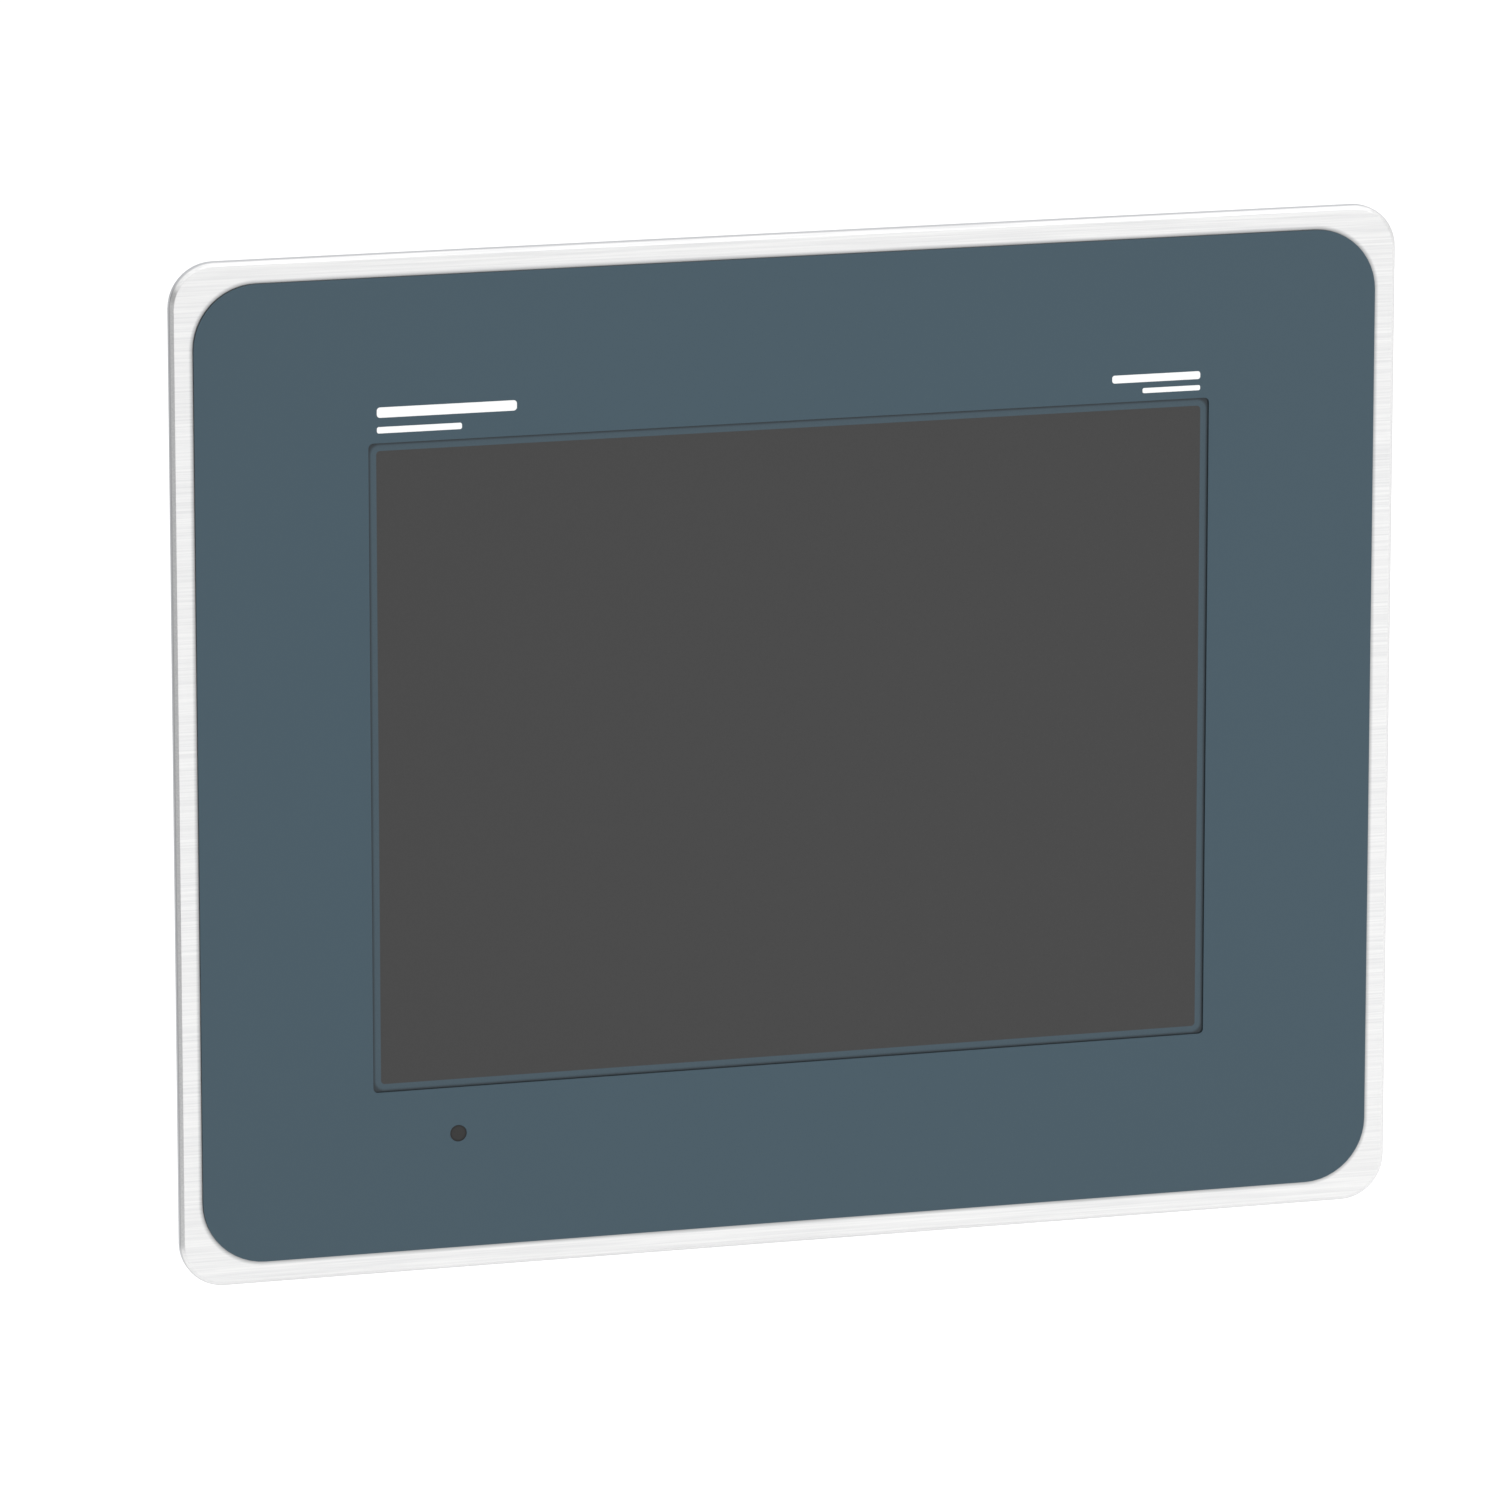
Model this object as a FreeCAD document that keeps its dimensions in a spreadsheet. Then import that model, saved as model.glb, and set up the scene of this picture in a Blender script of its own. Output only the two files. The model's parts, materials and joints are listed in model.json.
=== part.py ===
"""Panel-mount touch terminal: stainless front, 10.4-inch display, plastic rear housing.

Frame: +X right and +Z up as seen from the front, +Y to the rear.  The origin is the
centre of the panel cut-out, on the panel's front face, where the gasket presses.
Lengths are millimetres.
"""
import math
import os

import FreeCAD
import Part
import Sketcher

V = FreeCAD.Vector
SHEET_NAME = "Sizes"

# Driving sizes: lengths and radii, and places measured from the origin.
SIZES = {
    # front
    "plate_width": 316.5, "plate_height": 258.5, "plate_thick": 2.7, "plate_corner": 11.25,
    "plate_bevel": 1.0, "overlay_width": 305.2, "overlay_height": 247.2, "overlay_corner": 16.0,
    "overlay_thick": 0.55, "recess_width": 217.5, "recess_height": 164.6, "recess_corner": 1.2,
    "glass_width": 225.0, "glass_height": 172.0, "glass_thick": 1.8, "glass_corner": 1.5,
    "film_thick": 0.2, "opening_corner": 2.0, "gasket_thick": 1.0, "gasket_width": 300.0,
    "gasket_height": 242.0, "gasket_corner": 10.0, "cutout_width": 259.0, "cutout_height": 201.0,
    "foam_thick": 1.0, "foam_band": 4.6,
    "led_x": -87.0, "led_z": -94.2, "lens_radius": 2.05, "lens_head": 0.4, "pipe_radius": 1.5,
    "pipe_tail": 4.0, "tail_left": 30.0, "tail_right": 45.0, "tail_drop": 0.9, "tail_turn_y": 20.0,
    "film_cable": 0.2,
    # display module
    "view_width": 214.6, "view_height": 161.8, "lcd_width": 236.0, "lcd_height": 174.4,
    "lcd_depth": 6.0, "sheet_metal": 0.5, "cell_width": 228.0, "cell_height": 168.0,
    "cell_thick": 1.4, "guide_width": 221.0, "guide_height": 164.0, "guide_thick": 3.0,
    "sheets_thick": 0.6, "strip_height": 3.0, "lcd_screw_x": 114.0, "lcd_screw_z": 70.0,
    "lcd_hole": 1.3, "driver_half": 95.0, "driver_low": -82.0, "driver_top": -62.0,
    # housing
    "body_width": 258.0, "body_height": 200.0, "body_corner": 6.0, "wall": 2.5,
    "collar_depth": 16.0, "collar_flange": 2.5, "flange_width": 239.0, "flange_height": 178.0,
    "step_y": 24.0, "step_thick": 2.2, "back_y": 52.7, "cover_wall": 2.2, "cover_half": 117.0,
    "cover_top": 88.0, "cover_bottom": -82.0, "cover_corner": 8.0, "cover_round": 2.5,
    "step_round": 1.0, "corner_x": 122.5, "corner_z": 93.5, "boss_radius": 4.3, "stud_x": 123.0,
    "stud_z": 93.2, "stud_pitch_x": 70.0, "stud_pitch_z": 45.0, "m3_radius": 1.5, "m25_radius": 1.25,
    "frame_thick": 1.0, "frame_width": 251.0, "frame_height": 193.0, "vent_width": 2.4,
    "vent_pitch": 6.0, "label_x": -62.0, "label_z": -8.0, "label_width": 80.0, "label_height": 46.0,
    "label_thick": 0.15, "earth_x": -36.0, "earth_z": -91.0,
    # main board
    "board_y": 26.0, "board_thick": 1.6, "board_half": 112.0, "board_bottom": -79.0,
    "board_top": 62.0, "post_x": 105.0, "post_top": 55.0, "post_bottom": -72.0,
    "post_radius": 3.0, "chip_x": 10.0, "chip_z": 18.0, "chip_tall": 2.0, "sink_base": 2.5,
    "fin_tall": 10.0, "fin_pitch": 4.46, "cell_x": 84.0, "cell_z": 36.0, "port_face": -82.2,
    # ports
    "serial_x": 56.0, "serial_up": 6.6, "serial_proud": 5.8, "jack_pitch": 24.99,
    "jack_radius": 1.42, "jack_reach": 5.0, "pin_pitch": 2.77, "pin_row": 2.84, "wire_pitch": 5.08,
    "pin_up": 4.6,
    # clamps
    "clamp_x": 100.0, "clamp_axis": 7.5, "clamp_half": 6.5, "slot_half": 4.0, "slot_front": 6.0,
    "slot_back": 13.0, "foot_front": 8.6, "block_front": 19.0, "block_back": 28.0,
    "block_top": 13.5, "pad_y": 7.2, "pad_thick": 3.0, "pad_radius": 5.0, "pad_well": 2.0,
    "m5_radius": 2.5, "tip_radius": 1.5, "head_front": 36.0, "head_length": 5.0,
    "head_radius": 4.6, "head_slot": 1.2, "fit": 0.05, "clearance": 0.3,
    # card door
    "door_low": 20.0, "door_high": 54.0, "door_front": 27.1, "door_pin_y": 45.0,
    "door_thick": 1.6, "door_pin_radius": 0.75, "barrel_radius": 1.8, "pin_inset": 0.8,
    "lug_length": 3.6,
}


class Size:
    """A length that keeps its number and the sheet formula it comes from."""

    def __init__(self, number, formula):
        self.number = float(number)
        self.formula = formula

    def __add__(self, other):
        other = size(other)
        return Size(self.number + other.number, f"({self.formula} + {other.formula})")

    def __sub__(self, other):
        other = size(other)
        return Size(self.number - other.number, f"({self.formula} - {other.formula})")

    def __mul__(self, other):
        other = size(other)
        return Size(self.number * other.number, f"({self.formula} * {other.formula})")

    def __truediv__(self, other):
        other = size(other)
        return Size(self.number / other.number, f"({self.formula} / {other.formula})")

    def __radd__(self, other):
        return size(other) + self

    def __rsub__(self, other):
        return size(other) - self

    def __rmul__(self, other):
        return size(other) * self

    def __neg__(self):
        return Size(-self.number, f"(0 - {self.formula})")


def size(value):
    """The value as a Size; a plain number becomes its own formula."""
    return value if isinstance(value, Size) else Size(value, f"({value})")


class SizeTable:
    """The driving sizes as attributes, each one bound to its sheet cell."""

    def __init__(self, sizes):
        for name, number in sizes.items():
            setattr(self, name, Size(number, f"{SHEET_NAME}.{name}"))


s = SizeTable(SIZES)
doc = FreeCAD.newDocument("touch_panel")
nodes = []

# Depth planes, worked out from the driving sizes.
PLATE_BACK = -s.gasket_thick
PLATE_FRONT = PLATE_BACK - s.plate_thick
OVERLAY_FRONT = PLATE_FRONT - s.overlay_thick
GLASS_FRONT = PLATE_FRONT + s.film_thick
GLASS_BACK = GLASS_FRONT + s.glass_thick
LCD_FRONT = GLASS_BACK + s.foam_thick
LCD_BACK = LCD_FRONT + s.lcd_depth
CELL_FRONT = LCD_FRONT + s.sheet_metal
CELL_BACK = CELL_FRONT + s.cell_thick
SHEETS_BACK = CELL_BACK + s.sheets_thick
GUIDE_BACK = SHEETS_BACK + s.guide_thick
FRAME_FRONT = LCD_BACK
FRAME_BACK = FRAME_FRONT + s.frame_thick
FLANGE_BACK = PLATE_BACK + s.collar_flange
BOARD_BACK = s.board_y + s.board_thick

# Outline of the foam ring round the visible area of the display.
FOAM_WIDTH = s.view_width + 2 * s.foam_band
FOAM_HEIGHT = s.view_height + 2 * s.foam_band


# ---------------------------------------------------------------- helpers

def make_sheet():
    """The spreadsheet that holds every driving size."""
    sheet = doc.addObject("Spreadsheet::Sheet", SHEET_NAME)
    for row, (name, number) in enumerate(SIZES.items(), 1):
        sheet.set(f"A{row}", name)
        sheet.set(f"B{row}", str(number))
        sheet.setAlias(f"B{row}", name)
    doc.recompute()


def bind(item, path, value):
    """Bind one property of an object to a sheet formula."""
    item.setExpression(path, size(value).formula)


def node(item, label):
    """Name an object as a sub-part that gets a file of its own."""
    item.Label = label
    nodes.append(item)
    return item


def new_body(name):
    """An empty PartDesign body."""
    return doc.addObject("PartDesign::Body", name)


def rect(x, y, width, height):
    """A rectangle loop, given by its centre and size."""
    return ("poly", [(x - width / 2, y - height / 2), (x + width / 2, y - height / 2),
                     (x + width / 2, y + height / 2), (x - width / 2, y + height / 2)])


def span(x_low, x_high, y_low, y_high):
    """A rectangle loop, given by its limits."""
    return ("poly", [(x_low, y_low), (x_high, y_low), (x_high, y_high), (x_low, y_high)])


def poly(*points):
    """A closed loop of straight edges."""
    return ("poly", list(points))


def circle(x, y, radius):
    """A round loop."""
    return ("circle", x, y, radius)


def rounded(x, y, width, height, radius):
    """A rectangle loop with round corners."""
    return ("rounded", x, y, width, height, radius)


def draw_poly(sketch, points):
    """Draw a closed loop of lines with every corner placed by the sheet."""
    points = [(size(x), size(y)) for x, y in points]
    first = sketch.GeometryCount
    count = len(points)
    for i, (x, y) in enumerate(points):
        x_next, y_next = points[(i + 1) % count]
        line = Part.LineSegment(V(x.number, y.number, 0), V(x_next.number, y_next.number, 0))
        sketch.addGeometry(line, False)
    for i in range(count):
        following = first + (i + 1) % count
        sketch.addConstraint(Sketcher.Constraint("Coincident", first + i, 2, following, 1))
    for i, (x, y) in enumerate(points):
        place_point(sketch, first + i, 1, x, y)


def place_point(sketch, geometry, point, x, y):
    """Hold one sketch point at a place bound to the sheet."""
    for kind, value in (("DistanceX", x), ("DistanceY", y)):
        constraint = Sketcher.Constraint(kind, -1, 1, geometry, point, value.number)
        index = sketch.addConstraint(constraint)
        bind(sketch, f"Constraints[{index}]", value)


def draw_circle(sketch, x, y, radius):
    """Draw a circle whose centre and radius are bound to the sheet."""
    x, y, radius = size(x), size(y), size(radius)
    shape = Part.Circle(V(x.number, y.number, 0), V(0, 0, 1), radius.number)
    index = sketch.addGeometry(shape, False)
    place_point(sketch, index, 3, x, y)
    constraint = sketch.addConstraint(Sketcher.Constraint("Radius", index, radius.number))
    bind(sketch, f"Constraints[{constraint}]", radius)


def draw_rounded(sketch, x, y, width, height, radius):
    """Draw a round-cornered rectangle: four arcs and the four lines between them."""
    radius = size(radius)
    half_x = size(width) / 2 - radius
    half_y = size(height) / 2 - radius
    first = sketch.GeometryCount
    corners = [(1, 1), (-1, 1), (-1, -1), (1, -1)]
    for i, (side_x, side_y) in enumerate(corners):
        centre = V((x + side_x * half_x).number, (y + side_y * half_y).number, 0)
        ring = Part.Circle(centre, V(0, 0, 1), radius.number)
        start = i * math.pi / 2
        sketch.addGeometry(Part.ArcOfCircle(ring, start, start + math.pi / 2), False)
    for i in range(4):
        arc, following = first + i, first + (i + 1) % 4
        start = sketch.getPoint(arc, 2)
        end = sketch.getPoint(following, 1)
        line = sketch.addGeometry(Part.LineSegment(start, end), False)
        sketch.addConstraint(Sketcher.Constraint("Tangent", arc, 2, line, 1))
        sketch.addConstraint(Sketcher.Constraint("Tangent", line, 2, following, 1))
    for i, (side_x, side_y) in enumerate(corners):
        place_point(sketch, first + i, 3, x + side_x * half_x, y + side_y * half_y)
    index = sketch.addConstraint(Sketcher.Constraint("Radius", first, radius.number))
    bind(sketch, f"Constraints[{index}]", radius)


DRAW = {"poly": draw_poly, "circle": draw_circle, "rounded": draw_rounded}


def new_sketch(body, plane, offset, loops):
    """A sketch on one of the body's origin planes, moved along the plane's normal."""
    support = [item for item in body.Origin.OriginFeatures if item.Role == f"{plane}_Plane"][0]
    sketch = body.newObject("Sketcher::SketchObject", f"{body.Name}_sketch")
    sketch.AttachmentSupport = (support, [""])
    sketch.MapMode = "FlatFace"
    along_normal = -offset if plane == "XZ" else offset
    bind(sketch, "AttachmentOffset.Base.z", along_normal)
    for kind, *values in loops:
        DRAW[kind](sketch, *values)
    return sketch


def pad(body, plane, loops, low, high):
    """Add material between two places on the axis across the plane."""
    low, high = size(low), size(high)
    start = high if plane == "XZ" else low
    feature = body.newObject("PartDesign::Pad", f"{body.Name}_pad")
    feature.Profile = new_sketch(body, plane, start, loops)
    bind(feature, "Length", high - low)
    body.Tip = feature
    doc.recompute()
    return feature


def pocket(body, plane, loops, low, high):
    """Remove material between two places on the axis across the plane."""
    low, high = size(low), size(high)
    before = body.Shape.Volume
    start = low if plane == "XZ" else high
    feature = body.newObject("PartDesign::Pocket", f"{body.Name}_pocket")
    feature.Profile = new_sketch(body, plane, start, loops)
    bind(feature, "Length", high - low)
    body.Tip = feature
    doc.recompute()
    if "Invalid" in feature.State or body.Shape.Volume >= before:
        raise RuntimeError(f"{feature.Name} removes nothing: {feature.State}")
    return feature


def repeat(body, feature, axis, step, count):
    """Repeat a feature along one of the body's axes."""
    direction = [item for item in body.Origin.OriginFeatures if item.Role == f"{axis}_Axis"][0]
    pattern = body.newObject("PartDesign::LinearPattern", f"{body.Name}_pattern")
    pattern.Originals = [feature]
    pattern.Direction = (direction, [""])
    pattern.Occurrences = count
    bind(pattern, "Length", size(step) * (count - 1))
    body.Tip = pattern
    doc.recompute()
    return pattern


def edges_where(shape, test):
    """The names of the edges whose boxes pass a test."""
    return [f"Edge{i}" for i, edge in enumerate(shape.Edges, 1) if test(edge.BoundBox)]


def dress(body, kind, amount, test):
    """Chamfer or fillet the edges of a body that pass a test."""
    base = body.Tip
    feature = body.newObject(f"PartDesign::{kind}", f"{body.Name}_{kind.lower()}")
    feature.Base = (base, edges_where(base.Shape, test))
    bind(feature, "Size" if kind == "Chamfer" else "Radius", amount)
    body.Tip = feature
    doc.recompute()
    return feature


def at_y(place):
    """An edge test: the whole edge lies at one depth."""
    return lambda box: abs(box.YMin - place.number) < 0.01 and abs(box.YMax - place.number) < 0.01


def slab(label, loops, front, back):
    """A flat piece parallel to the front."""
    body = new_body(label)
    pad(body, "XZ", loops, front, back)
    return node(body, label)


def block(name, x_low, x_high, y_low, y_high, z_low, z_high):
    """A plain box between limits."""
    box = doc.addObject("Part::Box", name)
    limits = ((x_low, x_high, "Length", "x"), (y_low, y_high, "Width", "y"),
              (z_low, z_high, "Height", "z"))
    for low, high, length, axis in limits:
        bind(box, length, size(high) - low)
        bind(box, f"Placement.Base.{axis}", low)
    return box


AXIS_TURNS = {"Y": (V(1, 0, 0), -90), "Z": (V(0, 0, 1), 0)}


def rod(name, axis, base, radius, length):
    """A cylinder from a base point along +Y or +Z."""
    cylinder = doc.addObject("Part::Cylinder", name)
    turn_axis, angle = AXIS_TURNS[axis]
    cylinder.Placement = FreeCAD.Placement(V(0, 0, 0), FreeCAD.Rotation(turn_axis, angle))
    bind(cylinder, "Radius", radius)
    bind(cylinder, "Height", length)
    for letter, value in zip("xyz", base):
        bind(cylinder, f"Placement.Base.{letter}", value)
    return cylinder


def hexagon(name, across, base, axis, length):
    """A hexagonal prism from a base point along +Y or +Z."""
    prism = doc.addObject("Part::Prism", name)
    turn_axis, angle = AXIS_TURNS[axis]
    prism.Placement = FreeCAD.Placement(V(0, 0, 0), FreeCAD.Rotation(turn_axis, angle))
    prism.Polygon = 6
    bind(prism, "Circumradius", size(across) / (2 * math.cos(math.pi / 6)))
    bind(prism, "Height", length)
    for letter, value in zip("xyz", base):
        bind(prism, f"Placement.Base.{letter}", value)
    return prism


def fused(name, *items):
    """Items joined into one solid."""
    fuse = doc.addObject("Part::MultiFuse", name)
    fuse.Shapes = list(items)
    fuse.Refine = True
    return fuse


def cut(name, base, *tools):
    """A base less its tools."""
    tool = tools[0] if len(tools) == 1 else fused(f"{name}_tools", *tools)
    result = doc.addObject("Part::Cut", name)
    result.Base = base
    result.Tool = tool
    return result


def group(label, items):
    """Separate solids that share one node."""
    compound = doc.addObject("Part::Compound", label)
    compound.Links = list(items)
    return node(compound, label)


def mirror_places(x, z):
    """The four places of one point mirrored left to right and top to bottom."""
    return [(side_x * x, side_z * z) for side_x in (1, -1) for side_z in (1, -1)]


# ---------------------------------------------------------------- front

def front_plate():
    """Stainless plate with a bevelled edge, the display opening and the lens hole."""
    outline = rounded(0, 0, s.plate_width, s.plate_height, s.plate_corner)
    opening = rounded(0, 0, s.glass_width + 2 * s.clearance, s.glass_height + 2 * s.clearance,
                      s.opening_corner)
    lens_hole = circle(s.led_x, s.led_z, s.pipe_radius + s.fit)
    plate = slab("front_plate", [outline, opening, lens_hole], PLATE_FRONT, PLATE_BACK)
    rim_x = (s.plate_width / 2 - s.plate_corner).number
    rim_z = (s.plate_height / 2 - s.plate_corner).number
    front = at_y(PLATE_FRONT)

    def on_rim(box):
        far_x = max(abs(box.XMax), abs(box.XMin))
        far_z = max(abs(box.ZMax), abs(box.ZMin))
        return front(box) and (far_x > rim_x or far_z > rim_z)

    dress(plate, "Chamfer", s.plate_bevel, on_rim)


def front_overlay():
    """Printed overlay with a recess for the screen and a hole for the lens."""
    outline = rounded(0, 0, s.overlay_width, s.overlay_height, s.overlay_corner)
    recess = rounded(0, 0, s.recess_width, s.recess_height, s.recess_corner)
    hole = circle(s.led_x, s.led_z, s.lens_radius + s.fit)
    slab("front_overlay", [outline, recess, hole], OVERLAY_FRONT, PLATE_FRONT)


def touch_screen():
    """Touch film on its glass and the foam ring behind it."""
    sheet = rounded(0, 0, s.glass_width, s.glass_height, s.glass_corner)
    slab("touch_film", [sheet], PLATE_FRONT, GLASS_FRONT)
    slab("touch_glass", [sheet], GLASS_FRONT, GLASS_BACK)
    foam = [rect(0, 0, FOAM_WIDTH, FOAM_HEIGHT), rect(0, 0, s.view_width, s.view_height)]
    slab("touch_foam", foam, GLASS_BACK, LCD_FRONT)


def touch_tail():
    """Flat tail of the touch film: under the display, then back and up to its board socket."""
    thick = s.film_cable
    start_z = -(FOAM_HEIGHT / 2 + 0.1)
    down_y = LCD_FRONT - 0.25
    under_z = -(s.lcd_height / 2 + s.tail_drop)
    turn_y = s.tail_turn_y
    turn_z = s.board_bottom - 1
    plug_y = s.board_y - 2
    plug_z = s.board_bottom + 4
    end_z = plug_z + 2
    outline = poly((GLASS_BACK, start_z), (down_y + thick, start_z), (down_y + thick, under_z + thick),
                   (turn_y - thick, under_z + thick), (turn_y - thick, turn_z), (plug_y - thick, plug_z),
                   (plug_y - thick, end_z), (plug_y, end_z), (plug_y, plug_z), (turn_y, turn_z),
                   (turn_y, under_z), (down_y, under_z), (down_y, start_z - thick),
                   (GLASS_BACK, start_z - thick))
    tail = new_body("touch_tail")
    pad(tail, "YZ", [outline], s.tail_left, s.tail_right)
    node(tail, "touch_tail")


def status_lamp():
    """Light pipe in the front and the small board with its light source behind it."""
    head = rod("lens_head_rod", "Y", (s.led_x, PLATE_FRONT - s.lens_head, s.led_z), s.lens_radius,
               s.lens_head)
    pipe = rod("lens_pipe_rod", "Y", (s.led_x, PLATE_FRONT, s.led_z), s.pipe_radius,
               s.plate_thick + s.pipe_tail)
    node(fused("status_lens", head, pipe), "status_lens")
    board_front = FRAME_FRONT - 1
    half_width = 10
    low_z, high_z = s.led_z - 2, s.led_z + 4.5
    board = block("lamp_board", s.led_x - half_width, s.led_x + half_width, board_front, FRAME_FRONT,
                  low_z, high_z)
    half_chip = 1.5
    chip = block("lamp_chip", s.led_x - half_chip, s.led_x + half_chip, board_front - 0.8, board_front,
                 s.led_z - half_chip, s.led_z + half_chip)
    node(fused("status_board", board, chip), "status_board")


def panel_gasket():
    """Flat sealing ring round the panel cut-out, between the plate and the control panel."""
    outside = rounded(0, 0, s.gasket_width, s.gasket_height, s.gasket_corner)
    inside = rounded(0, 0, s.cutout_width, s.cutout_height, s.body_corner + 0.5)
    slab("panel_gasket", [outside, inside], PLATE_BACK, 0)


STUD_PLACES = (mirror_places(s.stud_pitch_x, s.stud_z) + mirror_places(s.stud_x, s.stud_pitch_z)
               + [(size(0), s.stud_z), (size(0), -s.stud_z)])
CORNER_PLACES = mirror_places(s.corner_x, s.corner_z)


def plate_fixings():
    """Studs welded to the back of the plate and the nuts that hold the housing to it."""
    across_flats = 5.5
    nut_thick = 2.4
    past_nut = 1.0
    studs = []
    nuts = []
    for i, (x, z) in enumerate(STUD_PLACES, 1):
        studs.append(rod(f"stud_{i}", "Y", (x, PLATE_BACK, z), s.m3_radius,
                         s.collar_flange + nut_thick + past_nut))
        shape = hexagon(f"nut_shape_{i}", across_flats, (x, FLANGE_BACK, z), "Y", nut_thick)
        hole = rod(f"nut_hole_{i}", "Y", (x, FLANGE_BACK, z), s.m3_radius + 0.02, nut_thick)
        nuts.append(cut(f"nut_{i}", shape, hole))
    group("plate_studs", studs)
    group("stud_nuts", nuts)


# ---------------------------------------------------------------- display module

def lcd_holes(radius):
    """The four fixing holes of the display module."""
    return [circle(x, z, radius) for x, z in mirror_places(s.lcd_screw_x, s.lcd_screw_z)]


def lcd_metalwork():
    """Front bezel and rear tray of the display module, one nested in the other."""
    metal = s.sheet_metal
    bezel_back = LCD_BACK - 1
    bezel = slab("lcd_bezel", [rect(0, 0, s.lcd_width, s.lcd_height),
                               rect(0, 0, s.view_width, s.view_height)], LCD_FRONT, bezel_back)
    pocket(bezel, "XZ", [rect(0, 0, s.lcd_width - 2 * metal, s.lcd_height - 2 * metal)],
           CELL_FRONT, bezel_back)
    play = 0.2
    tray_width = s.lcd_width - 2 * metal - play
    tray_height = s.lcd_height - 2 * metal - play
    tray = slab("lcd_tray", [rect(0, 0, tray_width, tray_height)] + lcd_holes(s.lcd_hole),
                CELL_BACK, LCD_BACK)
    pocket(tray, "XZ", [rect(0, 0, tray_width - 2 * metal, tray_height - 2 * metal)],
           CELL_BACK, LCD_BACK - metal)


def lcd_optics():
    """Liquid-crystal cell, diffuser sheets, light guide, light strip and their moulded frame."""
    slab("lcd_cell", [rect(0, 0, s.cell_width, s.cell_height)], CELL_FRONT, CELL_BACK)
    guide = rect(0, 0.5, s.guide_width, s.guide_height)
    slab("diffuser_sheets", [guide], CELL_BACK, SHEETS_BACK)
    slab("light_guide", [guide], SHEETS_BACK, GUIDE_BACK)
    half = s.guide_width / 2 + 0.1
    strip_top = 0.4 - s.guide_height / 2
    strip_low = strip_top - s.strip_height
    slab("backlight_strip", [span(-half + 1, half - 1, strip_low, strip_top)],
         SHEETS_BACK, GUIDE_BACK)
    play = 0.4
    mould_width = s.lcd_width - 4 * s.sheet_metal - play
    mould_height = s.lcd_height - 4 * s.sheet_metal - play
    inner = span(-half, half, strip_low - 0.1, s.guide_height / 2 + 0.6)
    slab("lcd_mould", [rect(0, 0, mould_width, mould_height), inner] + lcd_holes(s.lcd_hole),
         CELL_BACK, LCD_BACK - s.sheet_metal)


DRIVER_FRONT = LCD_BACK + 0.2
DRIVER_BACK = DRIVER_FRONT + 1.2
LCD_SOCKET_HALF = 16


def lcd_board():
    """Driver board on the back of the display, with its chips and cable socket."""
    board = block("driver_board", -s.driver_half, s.driver_half, DRIVER_FRONT, DRIVER_BACK,
                  s.driver_low, s.driver_top)
    socket = block("driver_socket", -LCD_SOCKET_HALF, LCD_SOCKET_HALF, DRIVER_BACK, DRIVER_BACK + 2.5,
                   s.driver_top - 4, s.driver_top)
    chip_length, chip_thick = 14, 1.2
    chips = [block(f"driver_chip_{i}", x, x + chip_length, DRIVER_BACK, DRIVER_BACK + chip_thick,
                   s.driver_low + 4, s.driver_low + 12)
             for i, x in enumerate((-80, -45, 40, 70), 1)]
    node(fused("lcd_board", board, socket, *chips), "lcd_board")


def lcd_cable():
    """Flat cable from the driver board back to the main board."""
    thick = s.film_cable
    near = DRIVER_BACK + 1.4
    far = s.board_y - 2
    low_z = s.driver_top
    turn_z = low_z + 12
    plug_z = turn_z + 4
    top_z = plug_z + 12
    outline = poly((near, low_z), (near, turn_z), (far - thick, plug_z), (far - thick, top_z),
                   (far, top_z), (far, plug_z - thick), (near + thick, turn_z - thick),
                   (near + thick, low_z))
    cable = new_body("lcd_cable")
    pad(cable, "YZ", [outline], -14, 14)
    node(cable, "lcd_cable")


def lcd_screws():
    """Four screws that hold the display module to the mounting frame."""
    start = CELL_BACK + 0.5
    screws = []
    for i, (x, z) in enumerate(mirror_places(s.lcd_screw_x, s.lcd_screw_z), 1):
        shank = rod(f"lcd_shank_{i}", "Y", (x, start, z), s.m25_radius, FRAME_BACK - start)
        head = rod(f"lcd_head_{i}", "Y", (x, FRAME_BACK, z), 2.3, 1.5)
        screws.append(fused(f"lcd_screw_{i}", shank, head))
    group("lcd_screws", screws)


# ---------------------------------------------------------------- housing

def mounting_frame():
    """Sheet-metal frame behind the display, with a window for the driver board."""
    spare = 3
    window = span(-s.driver_half - spare, s.driver_half + spare, s.driver_low - 2.5, s.driver_top + spare)
    tail_slot = span(s.tail_left - 2, s.tail_right + 2, -90.5, -86)
    corners = [circle(x, z, s.m3_radius + 0.1) for x, z in CORNER_PLACES]
    outline = rounded(0, 0, s.frame_width, s.frame_height, 3)
    slab("mounting_frame", [outline, window, tail_slot] + lcd_holes(1.4) + corners,
         FRAME_FRONT, FRAME_BACK)


def clamp_slots(body, inner_x, inner_z):
    """Cut the slots that the six clamps hook into."""
    half = s.slot_half
    pairs = [span(x - half, x + half, s.slot_front, s.slot_back) for x in (s.clamp_x, -s.clamp_x)]
    sides = [span(s.slot_front, s.slot_back, -half, half)]
    pocket(body, "XY", pairs, inner_z, s.body_height / 2)
    pocket(body, "XY", pairs, -s.body_height / 2, -inner_z)
    pocket(body, "YZ", sides, inner_x, s.body_width / 2)
    pocket(body, "YZ", sides, -s.body_width / 2, -inner_x)


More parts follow.
